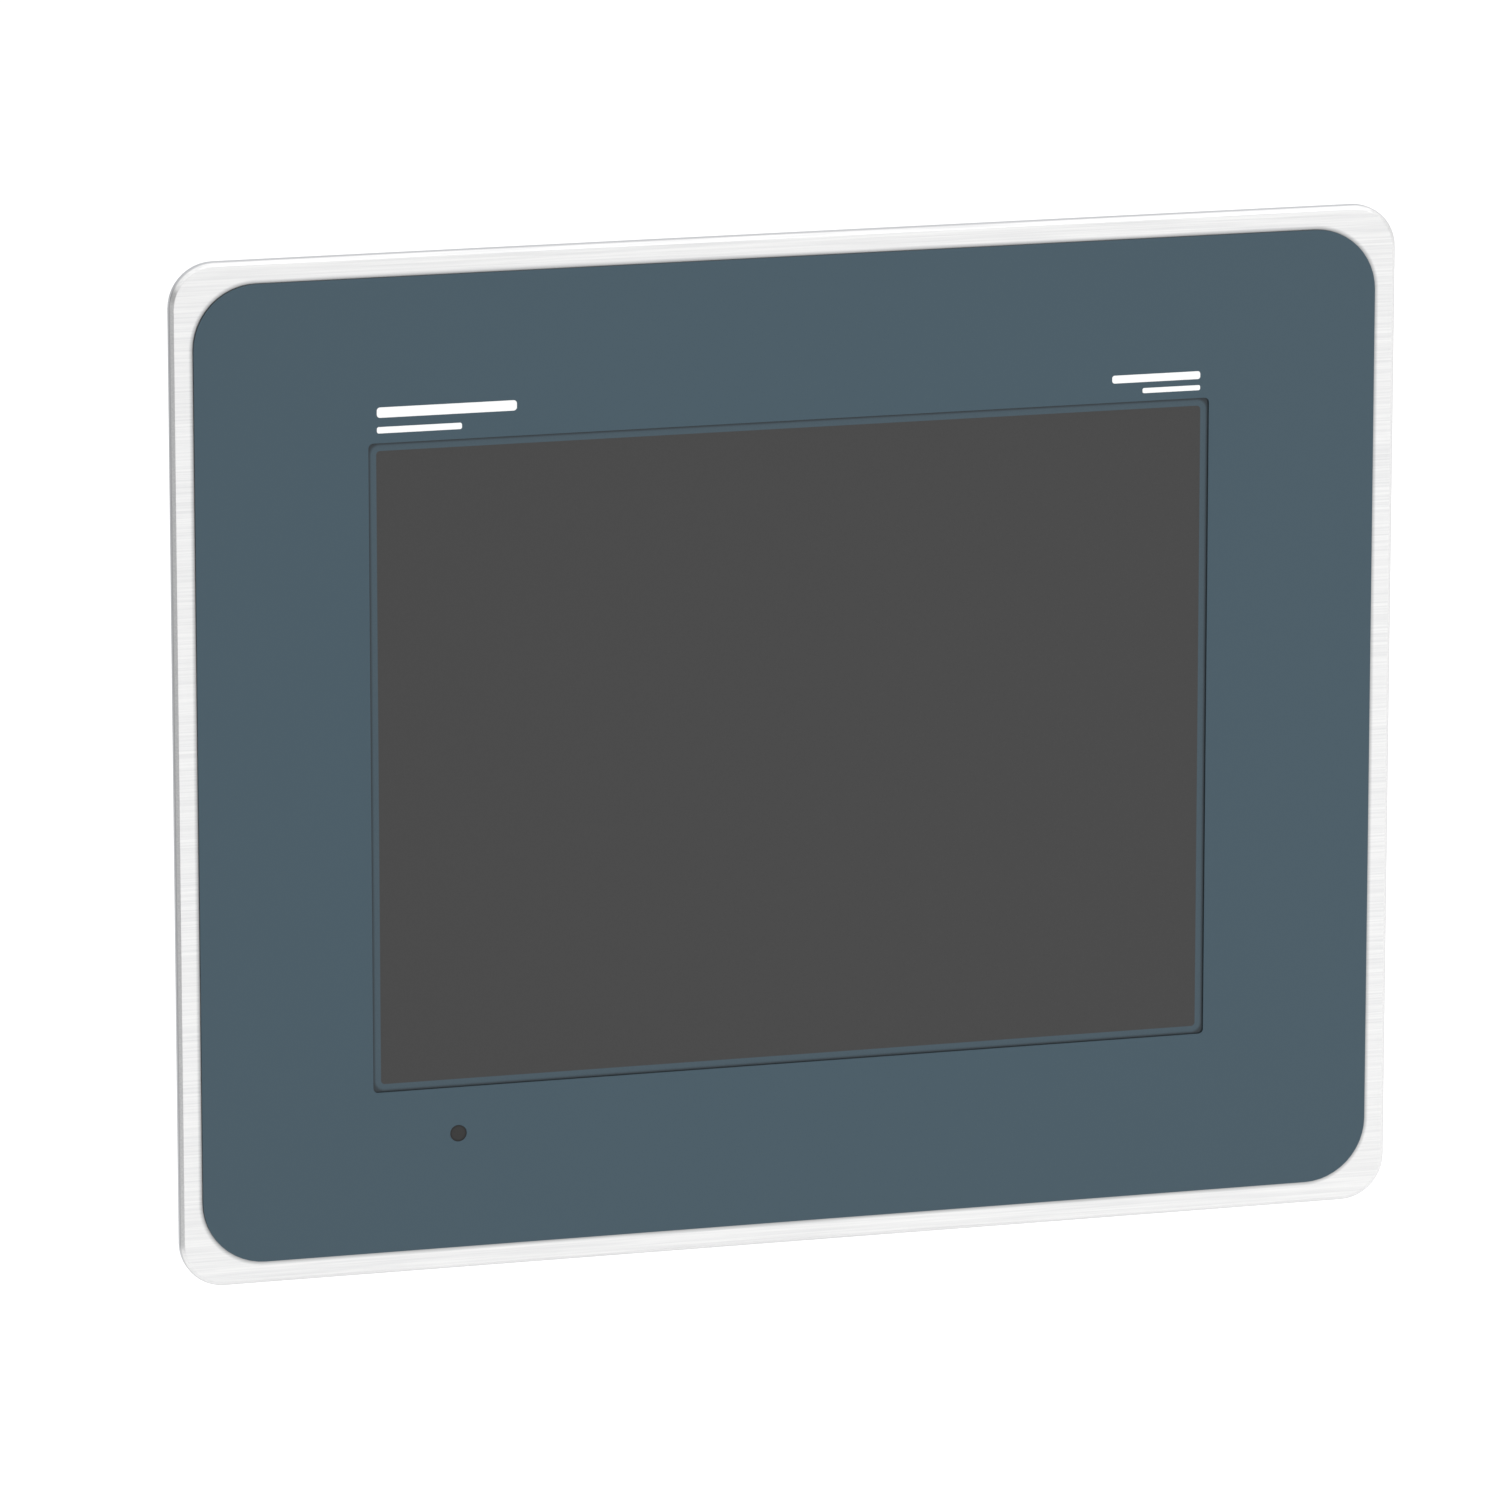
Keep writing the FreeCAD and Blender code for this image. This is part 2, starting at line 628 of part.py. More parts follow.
def front_frame():
    """Plastic collar that passes through the panel cut-out and carries the clamps."""
    outline = rounded(0, 0, s.body_width, s.body_height, s.body_corner)
    opening = rect(0, 0, s.flange_width, s.flange_height)
    frame = slab("front_frame", [outline, opening], PLATE_BACK, s.collar_depth)
    inner_width = s.body_width - 2 * s.wall
    inner_height = s.body_height - 2 * s.wall
    pocket(frame, "XZ", [rounded(0, 0, inner_width, inner_height, s.body_corner - s.wall)],
           FLANGE_BACK, s.collar_depth)
    pad(frame, "XZ", [circle(x, z, s.boss_radius) for x, z in CORNER_PLACES], FLANGE_BACK - 1, FRAME_FRONT)
    pocket(frame, "XZ", [circle(x, z, s.m3_radius + 0.02) for x, z in CORNER_PLACES],
           PLATE_BACK + 0.8, FRAME_FRONT)
    holes = [circle(x, z, s.m3_radius + 0.2) for x, z in STUD_PLACES]
    holes.append(circle(s.led_x, s.led_z, s.pipe_radius + 0.1))
    pocket(frame, "XZ", holes, PLATE_BACK, FLANGE_BACK)
    clamp_slots(frame, inner_width / 2, inner_height / 2)


def cover_shell():
    """Stepped rear housing: a skirt that meets the collar and a narrower deep part."""
    cover = new_body("rear_cover")
    middle = (s.cover_top + s.cover_bottom) / 2
    deep_height = s.cover_top - s.cover_bottom
    pad(cover, "XZ", [rounded(0, 0, s.body_width, s.body_height, s.body_corner)],
        s.collar_depth, s.step_y)
    pad(cover, "XZ", [rounded(0, middle, 2 * s.cover_half, deep_height, s.cover_corner)],
        s.step_y - 1, s.back_y)
    dress(cover, "Fillet", s.cover_round, at_y(s.back_y))
    outside_deep_part = s.cover_half.number + 5
    on_step = at_y(s.step_y)
    dress(cover, "Fillet", s.step_round, lambda box: on_step(box) and box.DiagonalLength > 1
          and max(abs(box.XMax), abs(box.XMin)) > outside_deep_part)
    pocket(cover, "XZ", [rounded(0, 0, s.body_width - 2 * s.wall, s.body_height - 2 * s.wall,
                                 s.body_corner - s.wall)], s.collar_depth, s.step_y - s.step_thick)
    hollow = rounded(0, middle, 2 * s.cover_half - 2 * s.cover_wall, deep_height - 2 * s.cover_wall,
                     s.cover_corner - s.cover_wall)
    pocket(cover, "XZ", [hollow], s.collar_depth, s.back_y - s.cover_wall)
    return cover


# Each port in the floor: its left and right limits and its height above the board.
PORTS = {
    "power": (-66.0, -47.0, 9.2),
    "ethernet": (-24.0, -8.0, 13.5),
    "usb_host": (2.0, 15.2, 5.9),
    "usb_device": (22.0, 34.0, 10.8),
}
SERIAL_Y = BOARD_BACK + s.serial_up
JACK_PLACES = [s.serial_x - s.jack_pitch / 2, s.serial_x + s.jack_pitch / 2]


def vents(cover):
    """Rows of vent slots in the roof and in the back of the deep part."""
    roof = span(-84, -84 + s.vent_width, s.step_y + 6, s.back_y - 6)
    first = pocket(cover, "XY", [roof], s.cover_top - s.cover_wall, s.cover_top)
    repeat(cover, first, "X", s.vent_pitch, 28)
    back = span(-36, -36 + s.vent_width, 30, 72)
    first = pocket(cover, "XZ", [back], s.back_y - s.cover_wall, s.back_y)
    repeat(cover, first, "X", s.vent_pitch, 13)


def cover_openings(cover):
    """Port openings in the floor and the card opening in the left wall."""
    gap = s.clearance
    ports = [span(left - gap, right + gap, BOARD_BACK - gap, BOARD_BACK + tall + gap)
             for left, right, tall in PORTS.values()]
    ports.append(rect(s.serial_x, SERIAL_Y, 19.4, 10.4))
    ports += [circle(x, SERIAL_Y, 1.7) for x in JACK_PLACES]
    pocket(cover, "XY", ports, s.cover_bottom, s.cover_bottom + s.cover_wall)
    card = span(s.door_front - 0.2, s.door_pin_y + 2, s.door_low, s.door_high)
    pocket(cover, "YZ", [card], -s.cover_half, -s.cover_half + s.cover_wall)


def hinge_lugs(cover):
    """Two lugs above and below the card opening that hold the door's pin."""
    face = -s.cover_half
    half = s.barrel_radius
    lower = span(s.door_pin_y - half, s.door_pin_y + half, s.door_low - s.lug_length, s.door_low)
    upper = span(s.door_pin_y - half, s.door_pin_y + half, s.door_high, s.door_high + s.lug_length)
    pad(cover, "YZ", [lower, upper], face - 1.2, face + 1)


def rear_cover():
    """The rear housing with bosses, hinge lugs, openings and vents."""
    cover = cover_shell()
    bosses = [circle(x, z, s.boss_radius - 0.5) for x, z in CORNER_PLACES]
    pad(cover, "XZ", bosses, FRAME_BACK, s.step_y - 1)
    pocket(cover, "XZ", [circle(x, z, s.m3_radius + 0.1) for x, z in CORNER_PLACES], FRAME_BACK, s.step_y)
    hinge_lugs(cover)
    cover_openings(cover)
    vents(cover)
    pin_hole = circle(-s.cover_half + s.pin_inset, s.door_pin_y, s.door_pin_radius + 0.01)
    pocket(cover, "XY", [pin_hole], s.door_low - s.lug_length + 0.6, s.door_high + s.lug_length)
    pocket(cover, "XZ", [circle(s.earth_x, s.earth_z, 2.1)], s.step_y - s.step_thick, s.step_y)
    node(cover, "rear_cover")


def cover_screws():
    """Four long cross-head screws through the cover and mounting frame into the collar."""
    head_thick, recess_deep = 2.2, 1.0
    recess_half, blade_half = 1.8, 0.3
    start = PLATE_BACK + 1.5
    head_back = s.step_y + head_thick
    screws = []
    for i, (x, z) in enumerate(CORNER_PLACES, 1):
        shank = rod(f"cover_shank_{i}", "Y", (x, start, z), s.m3_radius, s.step_y - start)
        head = rod(f"cover_head_{i}", "Y", (x, s.step_y, z), 2.9, head_thick)
        across = block(f"cover_across_{i}", x - recess_half, x + recess_half,
                       head_back - recess_deep, head_back, z - blade_half, z + blade_half)
        upright = block(f"cover_upright_{i}", x - blade_half, x + blade_half,
                        head_back - recess_deep, head_back, z - recess_half, z + recess_half)
        blank = fused(f"cover_blank_{i}", shank, head)
        screws.append(cut(f"cover_screw_{i}", blank, across, upright))
    group("cover_screws", screws)


def card_door():
    """Hinged cover over the memory-card bay, with its steel pin."""
    door = new_body("card_door")
    face = -s.cover_half
    pin_x = face + s.pin_inset
    low, high = s.door_low + 0.2, s.door_high - 0.2
    pad(door, "XY", [span(face, face + s.door_thick, s.door_front, s.door_pin_y)], low, high)
    pad(door, "XY", [circle(pin_x, s.door_pin_y, s.barrel_radius)], low, high)
    finger_lip = span(face - 1.2, face + 0.2, s.door_front, s.door_front + 1.6)
    pad(door, "XY", [finger_lip], low + 12, high - 12)
    pocket(door, "XY", [circle(pin_x, s.door_pin_y, s.door_pin_radius + s.fit)], low, high)
    node(door, "card_door")
    past_door = 3
    pin = rod("door_pin", "Z", (pin_x, s.door_pin_y, s.door_low - past_door), s.door_pin_radius,
              s.door_high - s.door_low + 2 * past_door)
    node(pin, "door_pin")


def rating_label():
    """Blank label on the back of the cover."""
    slab("rating_label", [rounded(s.label_x, s.label_z, s.label_width, s.label_height, 2)],
         s.back_y, s.back_y + s.label_thick)


def earth_screw():
    """Earth screw with its washer on the step of the cover."""
    x, z = s.earth_x, s.earth_z
    washer_thick, head_thick, slot_deep = 0.8, 2.6, 1.0
    head_back = s.step_y + washer_thick + head_thick
    shank = rod("earth_shank", "Y", (x, s.step_y - 6, z), 2.0, 6 + washer_thick)
    washer = rod("earth_washer", "Y", (x, s.step_y, z), 4.4, washer_thick)
    head = rod("earth_head", "Y", (x, s.step_y + washer_thick, z), 3.6, head_thick)
    slot = block("earth_slot", x - 4, x + 4, head_back - slot_deep, head_back, z - 0.4, z + 0.4)
    node(cut("earth_screw", fused("earth_blank", shank, washer, head), slot), "earth_screw")


# ---------------------------------------------------------------- electronics

POST_PLACES = ([(side * s.post_x, z) for side in (1, -1) for z in (s.post_bottom, s.post_top)]
               + [(size(0), s.post_top), (size(-36), s.post_bottom + 14)])


def main_board():
    """Circuit board with the two flat-cable sockets on its front."""
    outline = rounded(0, (s.board_top + s.board_bottom) / 2, 2 * s.board_half,
                      s.board_top - s.board_bottom, 2)
    holes = [circle(x, z, 1.4) for x, z in POST_PLACES]
    board = slab("main_board", [outline] + holes, s.board_y, BOARD_BACK)
    touch_socket = span(s.tail_left - 1.5, s.tail_right + 1.5, s.board_bottom + 6, s.board_bottom + 11)
    display_socket = span(-LCD_SOCKET_HALF, LCD_SOCKET_HALF, -34, -28)
    pad(board, "XZ", [touch_socket, display_socket], s.board_y - 3, s.board_y + 0.5)


def board_fixings():
    """Standoffs between the mounting frame and the board, and their screws."""
    thread_deep, screw_deep = 9, 7
    posts = []
    screws = []
    for i, (x, z) in enumerate(POST_PLACES, 1):
        shape = rod(f"post_shape_{i}", "Y", (x, FRAME_BACK, z), s.post_radius, s.board_y - FRAME_BACK)
        hole = rod(f"post_hole_{i}", "Y", (x, s.board_y - thread_deep, z), s.m25_radius + 0.02,
                   thread_deep)
        posts.append(cut(f"post_{i}", shape, hole))
        shank = rod(f"board_shank_{i}", "Y", (x, s.board_y - screw_deep, z), s.m25_radius,
                    screw_deep + s.board_thick)
        head = rod(f"board_head_{i}", "Y", (x, BOARD_BACK, z), 2.4, 1.7)
        screws.append(fused(f"board_screw_{i}", shank, head))
    group("board_posts", posts)
    group("board_screws", screws)


def on_board(name, x, z, width, height, tall):
    """A box standing on the rear face of the board."""
    return block(name, x - size(width) / 2, x + size(width) / 2, BOARD_BACK, BOARD_BACK + tall,
                 z - size(height) / 2, z + size(height) / 2)


def processor():
    """Processor and the finned heat sink that stands on it."""
    node(on_board("processor", s.chip_x, s.chip_z, 27, 27, s.chip_tall), "processor")
    sink = new_body("heat_sink")
    sink_width, fin_thick, fin_count = 46, 1.4, 11
    base_front = BOARD_BACK + s.chip_tall
    base_back = base_front + s.sink_base
    pad(sink, "XZ", [rect(s.chip_x, s.chip_z, sink_width, sink_width)], base_front, base_back)
    left = s.chip_x - sink_width / 2
    low = s.chip_z - sink_width / 2
    fin = pad(sink, "XZ", [span(left, left + fin_thick, low, low + sink_width)],
              base_back - 0.5, base_back + s.fin_tall)
    repeat(sink, fin, "X", s.fin_pitch, fin_count)
    node(sink, "heat_sink")


def board_chips():
    """Memory chips and electrolytic capacitors on the rear of the board."""
    chip_places = ((46, 30), (46, 8), (60, 30), (60, 8))
    group("memory_chips", [on_board(f"memory_{i}", x, z, 11, 14, 1.2)
                           for i, (x, z) in enumerate(chip_places, 1)])
    cans = ((-62, -44, 5, 13), (-48, -44, 5, 13), (-80, -44, 4, 10),
            (-80, -30, 4, 10), (80, -40, 3.2, 8), (80, -52, 3.2, 8))
    group("capacitors", [rod(f"capacitor_{i}", "Y", (x, BOARD_BACK, z), radius, tall)
                         for i, (x, z, radius, tall) in enumerate(cans, 1)])


def clock_battery():
    """Backup coin cell in its round holder, which is open upwards for changing it."""
    floor, rim = 1.5, 5
    x, z = s.cell_x, s.cell_z
    base = rod("holder_base", "Y", (x, BOARD_BACK, z), 12, rim)
    well = rod("holder_well", "Y", (x, BOARD_BACK + floor, z), 10.2, rim - floor)
    gap = block("holder_gap", x - 4, x + 4, BOARD_BACK + floor, BOARD_BACK + rim, z, z + 13)
    node(cut("battery_holder", base, well, gap), "battery_holder")
    node(rod("backup_battery", "Y", (x, BOARD_BACK + floor, z), 10, 3.2), "backup_battery")


def card_socket():
    """Memory-card socket whose slot faces the door."""
    socket = new_body("card_socket")
    middle = (s.door_low + s.door_high) / 2
    left = -s.board_half + 2
    pad(socket, "XZ", [span(left, left + 29, middle - 14, middle + 14)], BOARD_BACK, BOARD_BACK + 3.4)
    pocket(socket, "XZ", [span(left, left + 26, middle - 12.3, middle + 12.3)],
           BOARD_BACK + 0.5, BOARD_BACK + 2.9)
    node(socket, "card_socket")


# ---------------------------------------------------------------- ports

def port_body(name, depth):
    """A port's plain body on the board, with its left, right and middle places."""
    left, right, tall = PORTS[name]
    port = new_body(f"{name}_port")
    pad(port, "XY", [span(left, right, BOARD_BACK, BOARD_BACK + tall)], s.port_face, s.port_face + depth)
    return port, left, right, (left + right) / 2


def open_mouth(body, loops, depth):
    """Cut into a port from its lower face."""
    pocket(body, "XY", loops, s.port_face, s.port_face + depth)


def ethernet_jack():
    """Network jack with its socket and latch notch open downwards."""
    jack, _, _, middle = port_body("ethernet", 21.3)
    mouth_y = BOARD_BACK + 1.4
    depth = 12.5
    open_mouth(jack, [span(middle - 5.95, middle + 5.95, mouth_y, mouth_y + 8.0)], depth)
    open_mouth(jack, [span(middle - 3.1, middle + 3.1, mouth_y + 7.5, mouth_y + 10.6)], depth)
    node(jack, "ethernet_jack")


def usb_host_socket():
    """Flat host socket: a thin shell with a tongue inside."""
    host, left, right, _ = port_body("usb_host", 14)
    shell = 0.35
    top = BOARD_BACK + PORTS["usb_host"][2]
    open_mouth(host, [span(left + shell, right - shell, BOARD_BACK + shell, top - shell)], 11.5)
    pad(host, "XY", [span(left + 1, right - 1, BOARD_BACK + 3.0, BOARD_BACK + 4.9)],
        s.port_face + 1.2, s.port_face + 12)
    node(host, "usb_host_socket")


def usb_device_socket():
    """Square device socket with two slanted corners and a thick tongue."""
    device, _, _, middle = port_body("usb_device", 16)
    low, high = BOARD_BACK + 1.6, BOARD_BACK + 9.1
    half, slant = 4.2, 1.6
    mouth = poly((middle - half, low), (middle + half, low), (middle + half, high - slant),
                 (middle + half - slant, high), (middle - half + slant, high),
                 (middle - half, high - slant))
    open_mouth(device, [mouth], 9)
    pad(device, "XY", [rect(middle, BOARD_BACK + 5.2, 5.6, 3.2)], s.port_face + 0.8, s.port_face + 9.5)
    node(device, "usb_device_socket")


def serial_port():
    """Nine-way serial socket: flange, body and the D-shaped shell that stands out of the cover."""
    x, y = s.serial_x, SERIAL_Y
    inside = s.cover_bottom + s.cover_wall
    face = s.cover_bottom - s.serial_proud
    port = new_body("serial_port")
    flange = [rect(x, y, 30.8, 12.5)] + [circle(place, y, 1.6) for place in JACK_PLACES]
    pad(port, "XY", flange, inside, inside + 1)
    pad(port, "XY", [rect(x, y, 19, 12.4)], inside + 0.5, inside + 13)
    wide, narrow, half_deep = 8.5, 7.2, 4.1
    shell = poly((x - wide, y - half_deep), (x + wide, y - half_deep),
                 (x + narrow, y + half_deep), (x - narrow, y + half_deep))
    pad(port, "XY", [shell], face, inside + 0.5)
    below_cover = s.cover_bottom.number - 5
    dress(port, "Fillet", 1.6, lambda box: box.ZLength > 7 and box.ZMin < below_cover)
    five = [circle(x + s.pin_pitch * i, y - s.pin_row / 2, 0.6) for i in (-2, -1, 0, 1, 2)]
    four = [circle(x + s.pin_pitch * i, y + s.pin_row / 2, 0.6) for i in (-1.5, -0.5, 0.5, 1.5)]
    pocket(port, "XY", five + four, face, face + 5)
    node(port, "serial_port")


def serial_jackscrews():
    """The two hexagonal threaded posts that the serial plug screws into."""
    face = s.cover_bottom - s.jack_reach
    screws = []
    for i, x in enumerate(JACK_PLACES, 1):
        head = hexagon(f"jack_head_{i}", 4.75, (x, SERIAL_Y, face), "Z", s.jack_reach)
        shank = rod(f"jack_shank_{i}", "Z", (x, SERIAL_Y, s.cover_bottom), s.jack_radius, 6)
        hole = rod(f"jack_hole_{i}", "Z", (x, SERIAL_Y, face), s.jack_radius, s.jack_reach - 0.5)
        screws.append(cut(f"jackscrew_{i}", fused(f"jack_blank_{i}", head, shank), hole))
    group("serial_jackscrews", screws)


# The plug pulls down off the header; both share the three pin places.
PLUG_FACE = s.port_face - 0.4
PLUG_LOW = PLUG_FACE - 11.6
PLUG_BACK = BOARD_BACK + 11.2
WIRE_SCREW_Z = PLUG_LOW + 5.4
POWER_MIDDLE = (PORTS["power"][0] + PORTS["power"][1]) / 2
POWER_PLACES = [POWER_MIDDLE + i * s.wire_pitch for i in (-1, 0, 1)]


def power_header():
    """Power header on the board, with its three square pins."""
    header, _, _, middle = port_body("power", 12)
    pin_y = BOARD_BACK + s.pin_up
    open_mouth(header, [rect(middle, pin_y, 16.6, 6.8)], 9.2)
    pad(header, "XY", [rect(x, pin_y, 1, 1) for x in POWER_PLACES], s.port_face + 2, s.port_face + 9.7)
    node(header, "power_header")


def power_plug():
    """Plug with a tongue for the header, wire entries below and screw wells at the back."""
    pin_y = BOARD_BACK + s.pin_up
    tongue_top = PLUG_FACE + 8.8
    plug = new_body("power_plug")
    half = 7.8
    pad(plug, "XY", [span(POWER_MIDDLE - half, POWER_MIDDLE + half, BOARD_BACK + 0.2, PLUG_BACK)],
        PLUG_LOW, PLUG_FACE)
    pad(plug, "XY", [rect(POWER_MIDDLE, pin_y, 15.4, 6.0)], PLUG_FACE - 1, tongue_top)
    pocket(plug, "XY", [rect(x, pin_y, 1.5, 1.5) for x in POWER_PLACES], PLUG_FACE, tongue_top)
    pocket(plug, "XY", [rect(x, pin_y, 3.0, 3.0) for x in POWER_PLACES], PLUG_LOW, PLUG_LOW + 8)
    pocket(plug, "XZ", [circle(x, WIRE_SCREW_Z, 2.05) for x in POWER_PLACES],
           PLUG_BACK - 4.6, PLUG_BACK)
    node(plug, "power_plug")


def wire_screws():
    """Three slotted screws that grip the supply wires in the plug."""
    slot_deep = 0.8
    screws = []
    for i, x in enumerate(POWER_PLACES, 1):
        front = PLUG_BACK - 4.5
        back = front + 3.6
        head = rod(f"wire_head_{i}", "Y", (x, front, WIRE_SCREW_Z), 2.0, 3.6)
        slot = block(f"wire_slot_{i}", x - 3, x + 3, back - slot_deep, back + 1,
                     WIRE_SCREW_Z - 0.3, WIRE_SCREW_Z + 0.3)
        screws.append(cut(f"wire_screw_{i}", head, slot))
    group("wire_screws", screws)


# ---------------------------------------------------------------- clamps

# Each clamp: its place on the housing's rim and the turn about Y that takes it there.
CLAMP_PLACES = [
    (s.clamp_x, s.body_height / 2, 0), (-s.clamp_x, s.body_height / 2, 0),
    (s.body_width / 2, size(0), 90), (s.clamp_x, -s.body_height / 2, 180),
    (-s.clamp_x, -s.body_height / 2, 180), (-s.body_width / 2, size(0), -90),
]


def to_clamp_place(item, place):
    """Turn a piece drawn on top of the housing to its own side."""
    x, z, angle = place
    item.Placement = FreeCAD.Placement(V(0, 0, 0), FreeCAD.Rotation(V(0, 1, 0), angle))
    bind(item, "Placement.Base.x", x)
    bind(item, "Placement.Base.z", z)


def clamp_bracket(index, place):
    """Hooked bracket: a foot on the housing, a lip in the slot and a threaded block."""
    bracket = new_body(f"clamp_bracket_{index}")
    foot = 0.1
    foot_top = foot + 2
    lip_top = -s.wall - 0.1
    lip_low = lip_top - 2
    neck_front = s.slot_back - 3
    neck_back = s.slot_back - 0.05
    lip_back = neck_back + 2.5
    outer = [(s.block_back, foot), (s.block_back, s.block_top), (s.block_front, s.block_top),
             (s.block_front, foot_top), (s.foot_front, foot_top), (s.foot_front, foot)]
    hook = [(neck_front, foot), (neck_front, lip_low), (lip_back, lip_low), (lip_back, lip_top),
            (neck_back, lip_top), (neck_back, foot)]
    pad(bracket, "YZ", [poly(*hook, *outer)], -s.slot_half + 0.2, s.slot_half - 0.2)
    pad(bracket, "YZ", [poly(*outer)], -s.clamp_half, s.clamp_half)
    top = s.block_top.number - 0.1
    dress(bracket, "Fillet", 2.0, lambda box: box.ZMin > top and box.YLength > 5)
    pocket(bracket, "XZ", [circle(0, s.clamp_axis, s.m5_radius + s.fit)], s.block_front, s.block_back)
    to_clamp_place(bracket, place)
    return bracket


def clamp_pad(index, place):
    """Pressure pad that the screw pushes towards the panel."""
    cushion = new_body(f"clamp_pad_{index}")
    back = s.pad_y + s.pad_thick
    pad(cushion, "XZ", [circle(0, s.clamp_axis, s.pad_radius)], s.pad_y, back)
    dress(cushion, "Chamfer", 0.6, at_y(s.pad_y))
    pocket(cushion, "XZ", [circle(0, s.clamp_axis, s.tip_radius + s.fit)], back - s.pad_well, back)
    to_clamp_place(cushion, place)
    node(cushion, f"clamp_pad_{index}")


def clamp_screw(index, place):
    """Clamp screw with a slotted head and a tip that turns in the pad."""
    screw = new_body(f"clamp_screw_{index}")
    shoulder = s.pad_y + s.pad_thick + 0.1
    head_back = s.head_front + s.head_length
    pad(screw, "XZ", [circle(0, s.clamp_axis, s.tip_radius)], shoulder - s.pad_well, shoulder + 0.5)
    pad(screw, "XZ", [circle(0, s.clamp_axis, s.m5_radius)], shoulder, s.head_front + 0.5)
    pad(screw, "XZ", [circle(0, s.clamp_axis, s.head_radius)], s.head_front, head_back)
    dress(screw, "Chamfer", 0.5, at_y(head_back))
    pocket(screw, "XZ", [rect(0, s.clamp_axis, 2 * s.head_radius + 1, s.head_slot)],
           head_back - 2, head_back)
    to_clamp_place(screw, place)
    node(screw, f"clamp_screw_{index}")


def clamps():
    """The six clamps: brackets in one node, each pad and screw a node of its own."""
    group("clamp_brackets", [clamp_bracket(i, place) for i, place in enumerate(CLAMP_PLACES, 1)])
    for i, place in enumerate(CLAMP_PLACES, 1):
        clamp_pad(i, place)
        clamp_screw(i, place)


# ---------------------------------------------------------------- checks and output

def check_and_write():
    """Check every object and write one file for each sub-part."""
    doc.recompute()
    for item in doc.Objects:
        if "Invalid" in item.State or "Error" in item.State:
            raise RuntimeError(f"{item.Label} failed: {item.State}")
    os.makedirs("parts", exist_ok=True)
    for item in nodes:
        shape = item.Shape
        if shape.isNull() or not shape.isValid() or not shape.Solids:
            raise RuntimeError(f"{item.Label} has no valid solid")
        shape.exportStep(f"parts/{item.Label}.step")
        print(f"{item.Label}: {len(shape.Solids)} solids, {shape.Volume:.1f} mm3")
    print(len(nodes), "sub-parts")


make_sheet()
front_plate()
front_overlay()
touch_screen()
touch_tail()
status_lamp()
panel_gasket()
plate_fixings()
lcd_metalwork()
lcd_optics()
lcd_board()
lcd_cable()
lcd_screws()
mounting_frame()
front_frame()
rear_cover()
cover_screws()
card_door()
rating_label()
earth_screw()
main_board()
board_fixings()
processor()
board_chips()
clock_battery()
card_socket()
ethernet_jack()
usb_host_socket()
usb_device_socket()
serial_port()
serial_jackscrews()
power_header()
power_plug()
wire_screws()
clamps()
check_and_write()
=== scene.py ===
"""Looks of the panel-mount touch terminal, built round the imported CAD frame.

Everything is in metres in the CAD frame: +X right and +Z up seen from the front, +Y to
the rear.  Places come from the boxes of the CAD nodes.
"""
import bpy
import bmesh
import json
import math
import random
from mathutils import Matrix, Vector


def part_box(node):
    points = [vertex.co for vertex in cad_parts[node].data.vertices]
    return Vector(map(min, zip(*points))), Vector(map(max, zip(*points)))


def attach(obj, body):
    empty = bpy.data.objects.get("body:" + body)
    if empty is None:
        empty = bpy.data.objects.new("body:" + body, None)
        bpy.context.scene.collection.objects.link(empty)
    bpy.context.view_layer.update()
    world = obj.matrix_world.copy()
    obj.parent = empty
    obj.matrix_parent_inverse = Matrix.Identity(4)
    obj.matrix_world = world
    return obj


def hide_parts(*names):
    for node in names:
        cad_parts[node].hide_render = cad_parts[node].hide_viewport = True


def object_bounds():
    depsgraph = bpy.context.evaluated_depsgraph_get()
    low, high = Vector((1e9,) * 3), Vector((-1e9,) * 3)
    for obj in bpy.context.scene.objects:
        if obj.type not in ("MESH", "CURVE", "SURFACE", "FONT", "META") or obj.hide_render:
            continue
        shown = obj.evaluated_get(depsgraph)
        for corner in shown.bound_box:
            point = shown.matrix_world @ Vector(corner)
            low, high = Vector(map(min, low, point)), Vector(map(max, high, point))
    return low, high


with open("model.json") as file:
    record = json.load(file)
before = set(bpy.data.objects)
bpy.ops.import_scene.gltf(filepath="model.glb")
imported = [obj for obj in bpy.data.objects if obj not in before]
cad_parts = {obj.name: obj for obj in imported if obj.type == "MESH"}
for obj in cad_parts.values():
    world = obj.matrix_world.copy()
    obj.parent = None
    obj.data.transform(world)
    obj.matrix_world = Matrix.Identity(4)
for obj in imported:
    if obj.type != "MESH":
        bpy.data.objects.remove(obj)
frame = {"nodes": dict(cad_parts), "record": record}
CAD_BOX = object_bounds()
NODES = frame["nodes"]
MM = 0.001
MICRON = 0.000001


def middle_of(node):
    """The middle of a CAD node's box at rest."""
    low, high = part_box(node)
    return (low + high) / 2


def size_of(node):
    """The size of a CAD node's box at rest."""
    low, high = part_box(node)
    return high - low


# ---- materials

